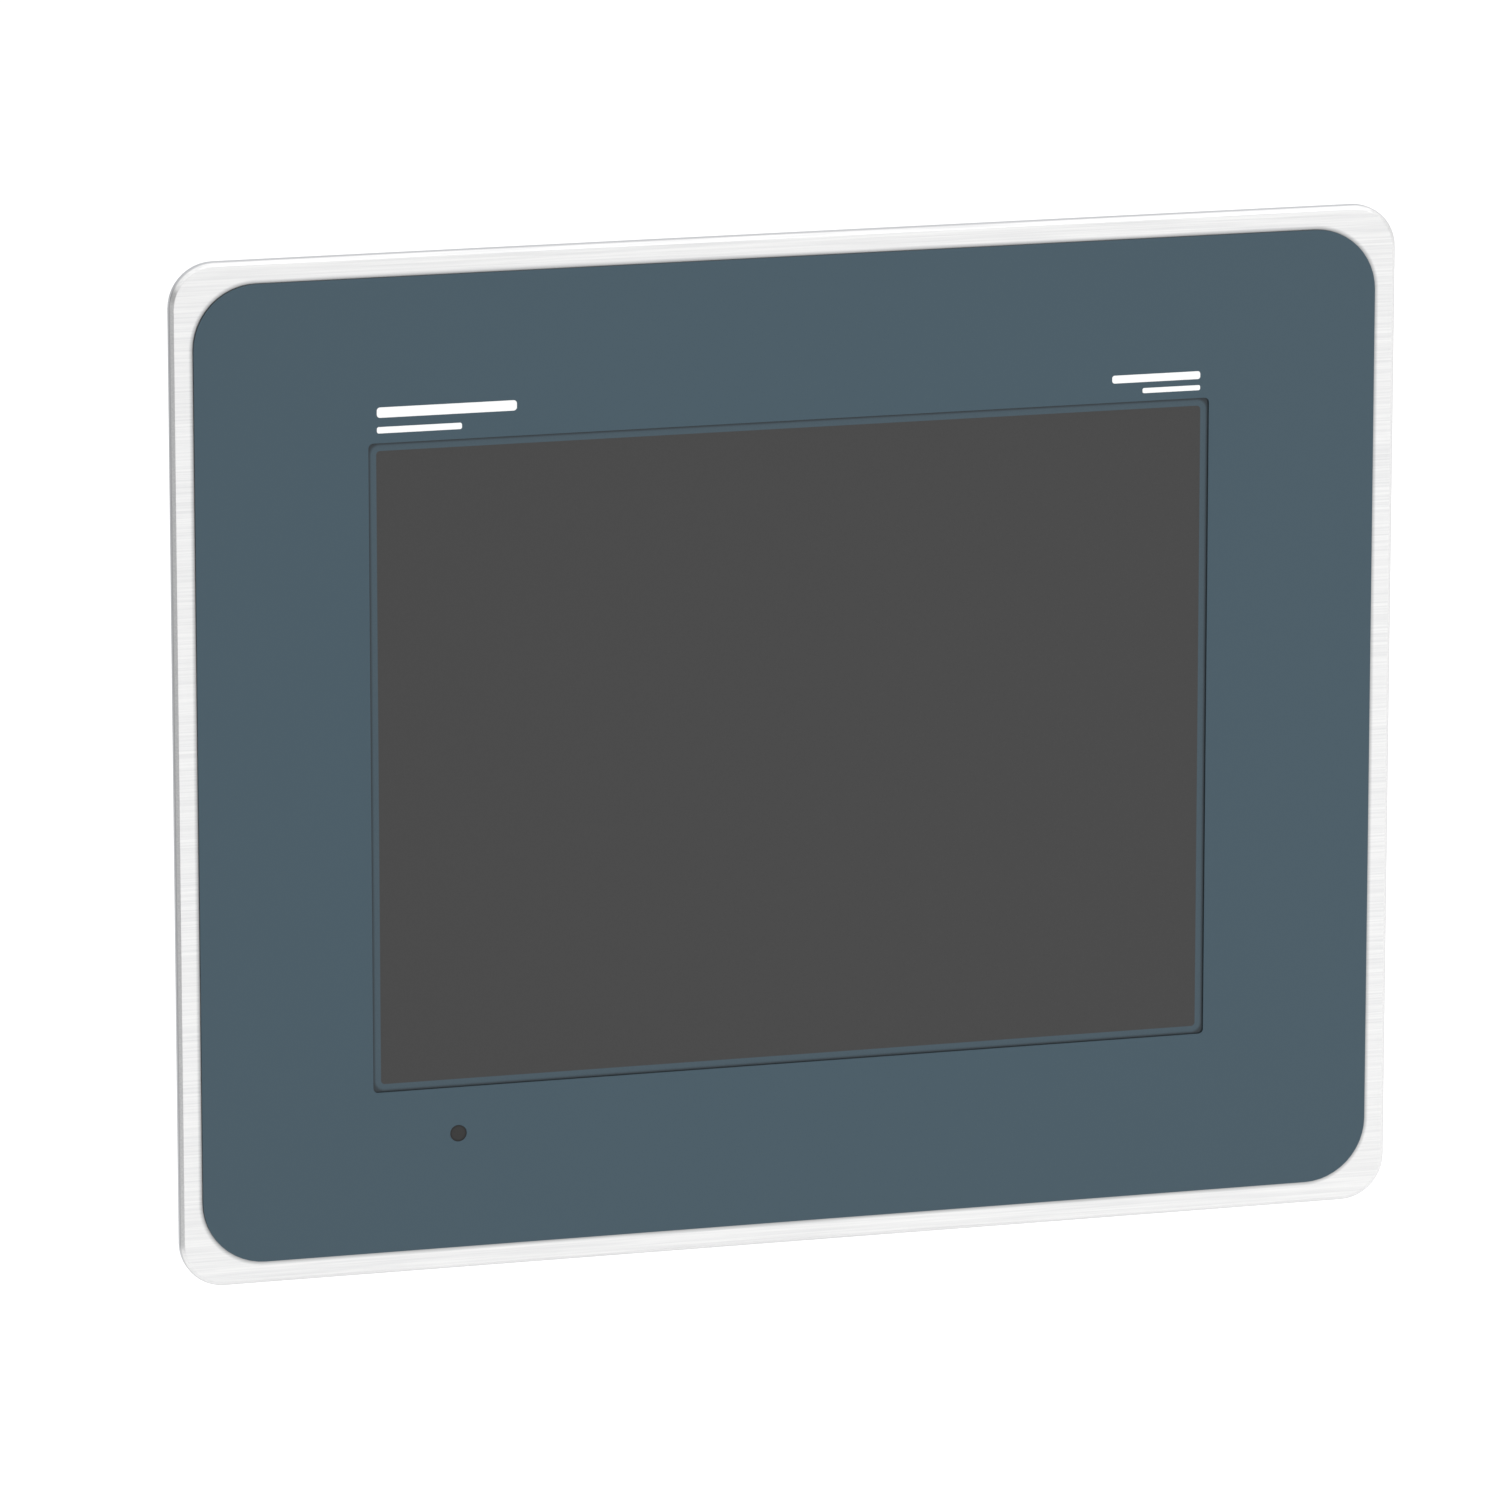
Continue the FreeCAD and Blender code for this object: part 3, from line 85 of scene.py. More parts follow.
class Look:
    """A material under construction: its node tree, its shader and short node helpers."""

    def __init__(self, name, colour, roughness, **sockets):
        self.material = bpy.data.materials.new(name)
        self.material.use_nodes = True
        self.tree = self.material.node_tree
        self.shader = self.tree.nodes["Principled BSDF"]
        self.shader.inputs["Base Color"].default_value = (*colour, 1.0)
        self.shader.inputs["Roughness"].default_value = roughness
        for socket, value in sockets.items():
            self.shader.inputs[socket.replace("_", " ")].default_value = value
        self.colour = colour
        self.place = self.add("ShaderNodeTexCoord").outputs["Object"]

    def add(self, kind, **settings):
        """A new node with its properties set."""
        made = self.tree.nodes.new(kind)
        for key, value in settings.items():
            setattr(made, key, value)
        return made

    def link(self, start, end):
        self.tree.links.new(start, end)

    def scaled(self, scale):
        """Object coordinates multiplied by a vector."""
        mapping = self.add("ShaderNodeMapping")
        mapping.inputs["Scale"].default_value = scale
        self.link(self.place, mapping.inputs["Vector"])
        return mapping.outputs["Vector"]

    def noise(self, scale, detail=4.0, stretch=(1, 1, 1), roughness=0.5):
        """Noise with its grain stretched along the axes where stretch is small."""
        node = self.add("ShaderNodeTexNoise")
        node.inputs["Scale"].default_value = scale
        node.inputs["Detail"].default_value = detail
        node.inputs["Roughness"].default_value = roughness
        self.link(self.scaled(stretch), node.inputs["Vector"])
        return node.outputs["Fac"]

    def cells(self, scale, feature="F1"):
        """Distance to the nearest cell point, or to the nearest edge between cells."""
        node = self.add("ShaderNodeTexVoronoi", feature=feature)
        node.inputs["Scale"].default_value = scale
        self.link(self.scaled((1, 1, 1)), node.inputs["Vector"])
        return node.outputs["Distance"]

    def math(self, operation, a, b=0.0):
        """One arithmetic step on sockets or numbers."""
        node = self.add("ShaderNodeMath", operation=operation)
        for socket, value in zip(node.inputs, (a, b)):
            if isinstance(value, (int, float)):
                socket.default_value = value
            else:
                self.link(value, socket)
        return node.outputs[0]

    def ramp(self, factor, low, high, start=0.0, end=1.0):
        """The factor mapped from start..end to low..high."""
        node = self.add("ShaderNodeMapRange", clamp=True)
        self.link(factor, node.inputs["Value"])
        for socket, value in zip(("From Min", "From Max", "To Min", "To Max"), (start, end, low, high)):
            node.inputs[socket].default_value = value
        return node.outputs["Result"]

    def share(self, factor, start, end):
        """The factor mapped from start..end to 0..1."""
        return self.ramp(factor, 0.0, 1.0, start, end)

    def mix(self, factor, first, second):
        """A colour between two colours or colour sockets."""
        node = self.add("ShaderNodeMix", data_type="RGBA")
        self.link(factor, node.inputs["Factor"])
        for socket, value in ((node.inputs[6], first), (node.inputs[7], second)):
            if isinstance(value, tuple):
                socket.default_value = (*value, 1.0)
            else:
                self.link(value, socket)
        return node.outputs[2]

    def vary_colour(self, factor, amount):
        """Lighten and darken the base colour a little by a factor socket."""
        dark = tuple(c * (1 - amount) for c in self.colour)
        light = tuple(min(1.0, c * (1 + amount)) for c in self.colour)
        self.paint(self.mix(factor, dark, light))

    def paint(self, colour_socket):
        self.link(colour_socket, self.shader.inputs["Base Color"])

    def vary_roughness(self, factor, low, high):
        self.link(self.ramp(factor, low, high), self.shader.inputs["Roughness"])

    def bump(self, height, depth):
        """Surface relief of a given depth in metres."""
        node = self.add("ShaderNodeBump")
        node.inputs["Distance"].default_value = depth
        node.inputs["Strength"].default_value = 1.0
        self.link(height, node.inputs["Height"])
        self.link(node.outputs["Normal"], self.shader.inputs["Normal"])

    def facing(self, axis):
        """How far the surface faces along one object axis, -1 to 1."""
        split = self.add("ShaderNodeSeparateXYZ")
        self.link(self.add("ShaderNodeTexCoord").outputs["Normal"], split.inputs[0])
        return split.outputs[axis]

    def turned_to_front(self, start, end):
        """0 to 1 as the surface turns to face -Y, between two shares of facing it."""
        return self.share(self.math("MULTIPLY", self.facing("Y"), -1.0), start, end)

    def along(self, axis):
        """The object coordinate along one axis."""
        split = self.add("ShaderNodeSeparateXYZ")
        self.link(self.place, split.inputs[0])
        return split.outputs[axis]

    def beyond_outline(self, half_x, half_z, radius):
        """Distance outside a round-cornered rectangle about the origin in x and z, less inside it."""
        over = []
        for axis, half in (("X", half_x), ("Z", half_z)):
            excess = self.math("SUBTRACT", self.math("ABSOLUTE", self.along(axis)), half - radius)
            over.append(self.math("MAXIMUM", excess, 0.0))
        squares = [self.math("MULTIPLY", value, value) for value in over]
        reach = self.math("SQRT", self.math("ADD", *squares))
        return self.math("SUBTRACT", reach, radius)


# Corner radii, and half the width and height of the clear window, which the materials follow.
OVERLAY_CORNER = 16.0 * MM
PLATE_CORNER = 11.25 * MM
WINDOW_HALF_SIZE = (106.7 * MM, 80.3 * MM)
WINDOW_CORNER = 1.0 * MM
# Colours of painted shade along narrow lines and edges.
PAINTED_SHADE_ROUND_FILM = (0.10, 0.11, 0.12)
PAINTED_OUTLINE_SHADE = (0.52, 0.52, 0.53)
PAINTED_FILM_SIDE_SHADE = (0.018, 0.026, 0.032)
PAINTED_RECESS_SHADE = (0.016, 0.026, 0.034)


def brushed_plate():
    """Brushed stainless steel: painted shade round the overlay and along the outer rim, and sheared edges
    darker, partly a duller finish and partly painted shade.
    """
    look = Look("brushed_plate", (0.86, 0.86, 0.855), 0.30, Metallic=1.0, Anisotropic=0.4)
    grain = look.noise(2300.0, 3.0, (0.016, 1, 1), 0.5)
    scratches = look.noise(3300.0, 1.0, (0.006, 1, 1))
    streaks = look.noise(150.0, 2.0, (0.02, 1, 1))
    face_side = look.turned_to_front(0.2, 0.6)
    face = look.mix(look.share(grain, 0.32, 0.68), (0.680, 0.682, 0.686), (0.800, 0.800, 0.797))
    face = look.mix(look.ramp(scratches, 0.0, 0.40, 0.60, 0.72), face, (0.600, 0.600, 0.605))
    face = look.mix(look.ramp(streaks, 0.0, 0.3, 0.35, 0.7), face, (0.742, 0.738, 0.734))
    overlay_size, plate_size = size_of("front_overlay"), size_of("front_plate")
    # Painted shade: the steel darkens next to the overlay's outline and clears within about a millimetre.
    from_film = look.beyond_outline(overlay_size.x / 2, overlay_size.z / 2, OVERLAY_CORNER)
    film_shade_falloff = look.share(from_film, -0.25 * MM, 1.1 * MM)
    face = look.mix(look.math("POWER", film_shade_falloff, 0.75), PAINTED_SHADE_ROUND_FILM, face)
    # Painted shade: a thin darker outline along the plate's outer edge.
    from_edge = look.beyond_outline(plate_size.x / 2, plate_size.z / 2, PLATE_CORNER)
    outline_shade_mask = look.share(from_edge, -0.30 * MM, -0.10 * MM)
    face = look.mix(outline_shade_mask, face, PAINTED_OUTLINE_SHADE)
    # Faces that do not face the front: a duller sheared finish, darkened further as painted shade.
    edge = look.mix(look.share(grain, 0.3, 0.7), (0.40, 0.41, 0.43), (0.50, 0.51, 0.53))
    look.paint(look.mix(face_side, edge, face))
    look.vary_roughness(grain, 0.24, 0.40)
    look.bump(look.math("ADD", grain, look.math("MULTIPLY", scratches, 0.5)), 7 * MICRON)
    return look.material


def overlay_film():
    """Matt printed film: blue-grey face with a very fine texture, side walls darkened with painted shade.
    """
    look = Look("overlay_film", (0.047, 0.083, 0.108), 0.48, Specular_IOR_Level=0.32)
    fine = look.noise(5200.0, 3.0)
    broad = look.noise(38.0, 3.0)
    face_side = look.turned_to_front(0.3, 0.8)
    grained = look.share(fine, 0.25, 0.75)
    printed = look.mix(grained, (0.0390, 0.0712, 0.0940), (0.0452, 0.0792, 0.1026))
    clouded = look.mix(look.ramp(broad, 0.0, 0.25, 0.3, 0.8), printed, (0.0438, 0.0778, 0.1011))
    # The film's side walls take painted shade in place of the face colour.
    look.paint(look.mix(face_side, PAINTED_FILM_SIDE_SHADE, clouded))
    look.vary_roughness(fine, 0.46, 0.58)
    look.bump(fine, 8 * MICRON)
    return look.material


def screen_film():
    """Touch film: dark satin window, border in the overlay's colour and a dark line of painted shade round
    it.
    """
    look = Look("screen_film", (0.041, 0.041, 0.041), 0.34, Specular_IOR_Level=0.36)
    from_window = look.beyond_outline(*WINDOW_HALF_SIZE, WINDOW_CORNER)
    border = look.share(from_window, -0.05 * MM, 0.05 * MM)
    fine = look.noise(4200.0, 2.0)
    grained = look.share(fine, 0.3, 0.7)
    window = look.mix(grained, (0.0306, 0.0306, 0.0306), (0.0353, 0.0353, 0.0353))
    band = look.mix(grained, (0.0375, 0.0655, 0.0855), (0.0422, 0.0722, 0.0930))
    # Painted shade: a dark line along the band's outer edge, at the step of the recess.
    recess_shade_mask = look.share(from_window, 1.25 * MM, 1.85 * MM)
    band_with_recess_shade = look.mix(recess_shade_mask, band, PAINTED_RECESS_SHADE)
    look.paint(look.mix(border, window, band_with_recess_shade))
    look.vary_roughness(look.noise(60.0, 2.0), 0.30, 0.38)
    look.bump(fine, 4 * MICRON)
    return look.material


def moulded(name, colour, grain, depth, roughness):
    """Spark-textured moulding: fine pits, faint flow marks and slight colour drift."""
    look = Look(name, colour, roughness)
    pits = look.cells(grain)
    fine = look.noise(grain * 1.7, 3.0)
    flow = look.noise(26.0, 3.0, (1, 0.4, 1))
    drift = look.math("ADD", look.math("MULTIPLY", fine, 0.6), look.math("MULTIPLY", flow, 0.4))
    look.vary_colour(look.share(drift, 0.3, 0.7), 0.14)
    look.vary_roughness(flow, roughness - 0.06, roughness + 0.08)
    look.bump(look.math("ADD", pits, look.math("MULTIPLY", fine, 0.5)), depth)
    return look.material


def metal(name, colour, roughness, grain=(1, 1, 1), scale=700.0, spots=0.06):
    """Plated or bare metal with brushing or tumbling marks and cloudy tarnish."""
    look = Look(name, colour, roughness, Metallic=1.0)
    marks = look.noise(scale, 4.0, grain, 0.6)
    clouds = look.noise(90.0, 4.0)
    tarnish = look.math("ADD", look.math("MULTIPLY", marks, 0.5), look.math("MULTIPLY", clouds, 0.5))
    look.vary_colour(look.share(tarnish, 0.35, 0.65), spots)
    look.vary_roughness(marks, roughness - 0.08, roughness + 0.10)
    look.bump(marks, 8 * MICRON)
    return look.material


def zinc_spangle():
    """Galvanised sheet: angular grey crystals."""
    look = Look("zinc_spangle", (0.60, 0.61, 0.63), 0.38, Metallic=1.0)
    crystals = look.add("ShaderNodeTexVoronoi")
    crystals.inputs["Scale"].default_value = 160.0
    look.link(look.place, crystals.inputs["Vector"])
    shades = look.add("ShaderNodeSeparateColor")
    look.link(crystals.outputs["Color"], shades.inputs[0])
    look.vary_colour(shades.outputs[0], 0.12)
    look.vary_roughness(shades.outputs[1], 0.28, 0.46)
    look.bump(look.noise(400.0), 6 * MICRON)
    return look.material


def circuit_board():
    """Green solder mask: dark patches in a net of lighter tracks, under faint clouds."""
    look = Look("circuit_board", (0.012, 0.085, 0.035), 0.32)
    patches = look.math("GREATER_THAN", look.cells(260.0, "DISTANCE_TO_EDGE"), 0.16)
    broad = look.noise(45.0, 2.0)
    base = look.mix(patches, (0.020, 0.150, 0.060), (0.010, 0.080, 0.032))
    look.paint(look.mix(look.ramp(broad, 0.0, 0.4, 0.3, 0.7), base, (0.014, 0.105, 0.045)))
    look.vary_roughness(broad, 0.26, 0.40)
    look.bump(patches, 20 * MICRON)
    return look.material


def foam_skin():
    """Closed-cell foam."""
    look = Look("foam_skin", (0.018, 0.018, 0.020), 0.92)
    bubbles = look.cells(1400.0)
    look.vary_colour(look.share(bubbles, 0.0, 0.7), 0.35)
    look.vary_roughness(bubbles, 0.84, 0.98)
    look.bump(bubbles, 120 * MICRON)
    return look.material


def gasket_rubber():
    """Matt rubber with talc dust in faint clouds."""
    look = Look("gasket_rubber", (0.020, 0.020, 0.022), 0.78)
    dust = look.ramp(look.noise(70.0, 5.0), 0.0, 0.5, 0.45, 0.8)
    fine = look.noise(2600.0, 3.0)
    look.paint(look.mix(dust, look.colour, (0.075, 0.075, 0.076)))
    look.vary_roughness(fine, 0.68, 0.88)
    look.bump(fine, 30 * MICRON)
    return look.material


def clear_sheet(name, colour, roughness=0.12, transmission=0.9):
    """Glass or acrylic with a faint haze."""
    look = Look(name, colour, roughness, Transmission_Weight=transmission, IOR=1.5)
    haze = look.noise(120.0, 3.0)
    look.vary_colour(haze, 0.03)
    look.vary_roughness(haze, roughness, roughness + 0.06)
    look.bump(haze, 2 * MICRON)
    return look.material


def film_copper(name, colour):
    """Flat cable film with copper lines that run through it, one to a millimetre."""
    look = Look(name, colour, 0.38)
    lines = look.math("PINGPONG", look.math("MULTIPLY", look.along("X"), 1000.0), 0.5)
    copper = look.share(lines, 0.20, 0.28)
    look.paint(look.mix(copper, colour, tuple(min(1.0, c * 1.6 + 0.05) for c in colour)))
    look.vary_roughness(look.noise(300.0), 0.30, 0.45)
    look.bump(copper, 20 * MICRON)
    return look.material


def white_plastic(name, colour, roughness=0.45):
    """Diffuser film or white moulding with faint speckle."""
    look = Look(name, colour, roughness)
    speck = look.noise(1800.0, 3.0)
    look.vary_colour(speck, 0.04)
    look.vary_roughness(speck, roughness - 0.05, roughness + 0.08)
    look.bump(speck, 10 * MICRON)
    return look.material


def smoked_lens():
    """Smoked light pipe with faint swirl marks in its depth, darkened towards its rim with painted shade.
    """
    look = Look("smoked_lens", (0.020, 0.020, 0.0205), 0.30, Specular_IOR_Level=0.35)
    centre = middle_of("status_lens")
    from_x = look.math("SUBTRACT", look.along("X"), centre.x)
    from_z = look.math("SUBTRACT", look.along("Z"), centre.z)
    squared = look.math("ADD", look.math("MULTIPLY", from_x, from_x), look.math("MULTIPLY", from_z, from_z))
    # Painted shade: the lens darkens towards its rim.
    rim = look.share(look.math("SQRT", squared), 1.45 * MM, 1.95 * MM)
    swirl = look.noise(900.0, 3.0)
    body = look.mix(swirl, (0.0125, 0.0122, 0.0120), (0.0175, 0.0170, 0.0168))
    look.paint(look.mix(rim, body, (0.004, 0.004, 0.0045)))
    look.vary_roughness(swirl, 0.26, 0.38)
    look.bump(swirl, 6 * MICRON)
    return look.material


def printed_ink():
    """White screen-printed ink, slightly grainy."""
    look = Look("printed_ink", (0.88, 0.88, 0.88), 0.5)
    speck = look.noise(5000.0, 3.0)
    look.vary_colour(speck, 0.03)
    look.vary_roughness(speck, 0.42, 0.60)
    look.bump(speck, 6 * MICRON)
    return look.material


def label_film():
    """Blank metallised label film with fine vertical grain."""
    look = Look("label_film", (0.55, 0.56, 0.57), 0.36, Metallic=0.35)
    grain = look.noise(1200.0, 3.0, (1, 1, 0.04))
    look.vary_colour(grain, 0.06)
    look.vary_roughness(grain, 0.30, 0.44)
    look.bump(grain, 5 * MICRON)
    return look.material


def component_body(name, colour, roughness):
    """Ceramic, ferrite or resin body of a small component, slightly mottled."""
    look = Look(name, colour, roughness)
    look.vary_colour(look.noise(900.0), 0.18)
    look.vary_roughness(look.noise(700.0), roughness - 0.08, roughness + 0.1)
    look.bump(look.noise(1600.0), 10 * MICRON)
    return look.material


LOOKS = {
    "stainless_plate": brushed_plate(),
    "overlay_film": overlay_film(),
    "touch_film": screen_film(),
    "clear_glass": clear_sheet("touch_glass_sheet", (0.86, 0.90, 0.88)),
    "foam": foam_skin(),
    "gasket_rubber": gasket_rubber(),
    "flex_film": film_copper("amber_film", (0.30, 0.12, 0.02)),
    "lens_plastic": smoked_lens(),
    "green_board": circuit_board(),
    "zinc_steel": metal("zinc_plate", (0.63, 0.64, 0.66), 0.30),
    "lcd_steel": metal("lcd_sheet_steel", (0.55, 0.56, 0.57), 0.34, (0.03, 1, 1)),
    "frame_steel": zinc_spangle(),
    "lcd_cell": clear_sheet("polarised_cell", (0.05, 0.05, 0.055), 0.18, 0.25),
    "diffuser": white_plastic("diffuser_film", (0.82, 0.83, 0.83), 0.6),
    "guide_acrylic": clear_sheet("guide_acrylic_sheet", (0.90, 0.94, 0.93), 0.08, 0.85),
    "light_strip": white_plastic("light_strip_white", (0.80, 0.76, 0.52)),
    "mould_white": white_plastic("mould_white_plastic", (0.72, 0.72, 0.69), 0.5),
    "housing_black": moulded("housing_black_moulding", (0.021, 0.0215, 0.0225), 1300.0, 50 * MICRON, 0.56),
    "chip_black": moulded("chip_epoxy", (0.016, 0.016, 0.018), 3200.0, 10 * MICRON, 0.5),
    "sink_aluminium": metal("black_anodised", (0.030, 0.030, 0.033), 0.42, (1, 0.05, 1)),
    "capacitor_can": metal("capacitor_can_metal", (0.66, 0.67, 0.68), 0.24, (1, 0.05, 1)),
    "cell_steel": metal("cell_plated_steel", (0.72, 0.71, 0.68), 0.26),
    "holder_black": moulded("holder_black_moulding", (0.020, 0.020, 0.021), 2200.0, 20 * MICRON, 0.5),
    "socket_metal": metal("tinned_shell", (0.70, 0.70, 0.68), 0.26, (1, 1, 0.06)),
    "terminal_green": moulded("terminal_green_moulding", (0.010, 0.165, 0.045), 2200.0, 20 * MICRON, 0.42),
    "label_silver": label_film(),
    "clamp_steel": metal("cast_zinc", (0.50, 0.51, 0.52), 0.46, (1, 1, 1), 900.0, 0.10),
    "clamp_screw_steel": metal("screw_zinc", (0.62, 0.62, 0.60), 0.30),
    "clamp_pad_plastic": moulded("pad_nylon", (0.026, 0.026, 0.028), 2600.0, 20 * MICRON, 0.48),
}
INK = printed_ink()

# Edge rounds of the CAD nodes that show, in millimetres.
EDGE_ROUNDS = {
    "front_plate": 0.08, "front_overlay": 0.10, "rear_cover": 0.35, "front_frame": 0.35, "card_door": 0.20,
    "clamp_brackets": 0.35, "earth_screw": 0.12, "cover_screws": 0.10, "power_header": 0.15,
    "power_plug": 0.20, "ethernet_jack": 0.15, "usb_host_socket": 0.08, "usb_device_socket": 0.12,
    "serial_jackscrews": 0.12, "wire_screws": 0.10, "heat_sink": 0.15, "card_socket": 0.10,
    "battery_holder": 0.15, "backup_battery": 0.25, "processor": 0.15, "memory_chips": 0.10,
    "capacitors": 0.40, "mounting_frame": 0.15,
}
ROUNDED_FROM = math.radians(38)
WELD_DISTANCE = 2 * MICRON


def dress_nodes():
    """Give every CAD node the material of its slot and joined edges, and the listed ones a fine edge round.
    """
    for part in frame["record"]["subparts"]:
        piece = NODES[part["node"]]
        piece.data.materials.clear()
        piece.data.materials.append(LOOKS[part["material_slot"]])
        weld = piece.modifiers.new("weld", "WELD")
        weld.merge_threshold = WELD_DISTANCE
        if part["node"] in EDGE_ROUNDS:
            bevel = piece.modifiers.new("edge_round", "BEVEL")
            bevel.width = EDGE_ROUNDS[part["node"]] * MM
            bevel.segments = 2
            bevel.limit_method = "ANGLE"
            bevel.angle_limit = ROUNDED_FROM
            bevel.use_clamp_overlap = True
            shade = piece.modifiers.new("even_shade", "WEIGHTED_NORMAL")
            shade.weight = 60


# ---- mesh helpers

SHARP_FROM = math.radians(35)


def new_object(name, data):
    """Put some data into the scene as an object."""
    made = bpy.data.objects.new(name, data)
    bpy.context.scene.collection.objects.link(made)
    return made


def mesh_object(mesh, name):
    """Put a bmesh into a plain scene object."""
    data = bpy.data.meshes.new(name)
    mesh.to_mesh(data)
    mesh.free()
    return new_object(name, data)


def finish_piece(mesh, name, look, body):
    """Turn a bmesh into a piece that rides on a body."""
    bmesh.ops.recalc_face_normals(mesh, faces=mesh.faces)
    piece = mesh_object(mesh, name)
    piece.data.materials.append(look)
    piece.data.shade_smooth()
    piece.data.set_sharp_from_angle(angle=SHARP_FROM)
    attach(piece, body)
    return piece


def ring(mesh, outline, level, place=Matrix()):
    """Add the vertices of an outline in x and y at a height, moved into place."""
    return [mesh.verts.new(place @ Vector((x, y, level))) for x, y in outline]


def skin(mesh, loops, capped=True):
    """Add the faces between successive rings of vertices, and over both ends."""
    for first, second in zip(loops, loops[1:]):
        for i in range(len(first)):
            following = (i + 1) % len(first)
            mesh.faces.new((first[i], first[following], second[following], second[i]))
    if capped:
        mesh.faces.new(loops[0][::-1])
        mesh.faces.new(loops[-1])


def prism(mesh, outline, low, high, turn=Matrix()):
    """Add a closed prism: an outline in x and y, between two heights, then turned."""
    skin(mesh, [ring(mesh, outline, level, turn) for level in (low, high)])


def round_rect(width, height, radius, centre=(0.0, 0.0), steps=6):
    """Outline of a round-cornered rectangle."""
    points = []
    for corner, (side_x, side_y) in enumerate(((1, 1), (-1, 1), (-1, -1), (1, -1))):
        middle = (centre[0] + side_x * (width / 2 - radius), centre[1] + side_y * (height / 2 - radius))
        for step in range(steps + 1):
            angle = (corner + step / steps) * math.pi / 2
            points.append((middle[0] + radius * math.cos(angle), middle[1] + radius * math.sin(angle)))
    return points


def lathe(mesh, profile, turn=Matrix(), segments=48):
    """Add a turned shape: (radius, height) points about the z axis, then turned.

    A profile that ends at its first point makes a ring with a closed section.
    """
    angles = [2 * math.pi * i / segments for i in range(segments)]
    closed = profile[0] == profile[-1]
    rings = []
    for radius, height in profile[:-1] if closed else profile:
        stops = angles if radius > 0 else angles[:1]
        outline = [(radius * math.cos(a), radius * math.sin(a)) for a in stops]
        rings.append(ring(mesh, outline, height, turn))
    if closed:
        rings.append(rings[0])
    for first, second in zip(rings, rings[1:]):
        for i in range(segments):
            following = (i + 1) % segments
            if len(first) == 1:
                mesh.faces.new((first[0], second[i], second[following]))
            elif len(second) == 1:
                mesh.faces.new((first[i], second[0], first[following]))
            else:
                mesh.faces.new((first[i], second[i], second[following], first[following]))


def raised_block(mesh, place, size):
    """Add a small block with softened top edges."""
    width, depth, height = size
    soft = min(size) * 0.12
    loops = []
    for inset, level in ((0.0, 0.0), (0.0, height - soft), (soft, height)):
        outline = round_rect(width - 2 * inset, depth - 2 * inset, soft, steps=2)
        loops.append(ring(mesh, outline, level, place))
    skin(mesh, loops)


# Turns that carry +z of a drawn shape to an axis of the frame.
TO_FRONT = Matrix.Rotation(math.radians(90), 4, "X")
TO_REAR = Matrix.Rotation(math.radians(-90), 4, "X")
TO_LEFT = Matrix.Rotation(math.radians(-90), 4, "Y")
DOWNWARDS = Matrix.Rotation(math.radians(180), 4, "X")


def on_rear(x, y, z):
    """The place of a shape that is drawn along +z and stands on a face towards the rear."""
    return Matrix.Translation((x, y, z)) @ TO_REAR


# ---- front

INK_THICKNESS = 0.03 * MM
# Centre x and z, width and height of the printed bars, in millimetres.
FRONT_BARS = {
    "mark_left_long": (-88.8, 90.0, 35.6, 2.6),
    "mark_left_short": (-95.8, 85.6, 21.6, 1.6),
    "mark_right_long": (94.8, 88.2, 23.2, 2.0),
    "mark_right_short": (98.8, 85.0, 15.2, 1.3),
}


def front_marks():
    """Two plain printed bars on each side above the screen, with no lettering."""
    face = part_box("front_overlay")[0].y
    for name, (x, z, width, height) in FRONT_BARS.items():
        mesh = bmesh.new()
        outline = round_rect(width * MM, height * MM, height * MM * 0.32)
        place = Matrix.Translation((x * MM, face, z * MM)) @ TO_FRONT
        prism(mesh, outline, 0.0, INK_THICKNESS, place)
        finish_piece(mesh, name, INK, "terminal")


# ---- clamps

CLAMP_COUNT = 6
THREAD_PITCH = 0.8 * MM
# Radii of the thread's crest and root, of the screw's bare tip and of the hole for it in the pad.
THREAD_MAJOR = 2.48 * MM
THREAD_MINOR = 2.02 * MM
TIP_RADIUS = 1.48 * MM
TIP_HOLE = 1.55 * MM
TIP_LENGTH = 2.0 * MM
RINGS_PER_TURN = 10
THREAD_SEGMENTS = 40
HEAD_LENGTH = 5.0 * MM
HEAD_OVERLAP = 0.1 * MM
KNURL_TEETH = 36
SLOT_LENGTH = 12 * MM
SLOT_WIDTH = 1.2 * MM
SLOT_DEPTH = 2 * MM
SCREW_SHARP_FROM = math.radians(20)


def thread_profile(phase):
    """Radius of the thread at a phase of one pitch: flat root and crest with 60-degree flanks."""
    ramp = abs((phase % 1.0) * 2.0 - 1.0)
    share = min(1.0, max(0.0, (ramp - 0.14) / 0.68))
    return THREAD_MINOR + (THREAD_MAJOR - THREAD_MINOR) * share


def ring_stack(mesh, rings, segments):
    """Add a closed turned shape from rings given as (height, radius at an angle)."""
    angles = [2 * math.pi * i / segments for i in range(segments)]
    loops = []
    for height, radius_at in rings:
        outline = [(radius_at(a) * math.cos(a), radius_at(a) * math.sin(a)) for a in angles]
        loops.append(ring(mesh, outline, height))
    skin(mesh, loops)
    bmesh.ops.recalc_face_normals(mesh, faces=mesh.faces)


def threaded_shank(tip, end):
    """Bare tip and rolled thread along +z, fading out at both ends."""
    rings = [(height, lambda a, r=radius: r)
             for height, radius in ((0.0, 0.9 * TIP_RADIUS), (0.15 * MM, TIP_RADIUS), (tip, TIP_RADIUS))]
    steps = int((end - tip) / THREAD_PITCH * RINGS_PER_TURN)
    for i in range(steps + 1):
        height = tip + (end - tip) * i / steps
        fade = min(1.0, (height - tip) / (1.2 * MM), (end - height) / (1.0 * MM) + 0.25)
        rings.append((height, lambda a, z=height, f=fade: THREAD_MINOR + f
                      * (thread_profile(z / THREAD_PITCH - a / (2 * math.pi)) - THREAD_MINOR)))
    mesh = bmesh.new()
    ring_stack(mesh, rings, THREAD_SEGMENTS)
    return mesh


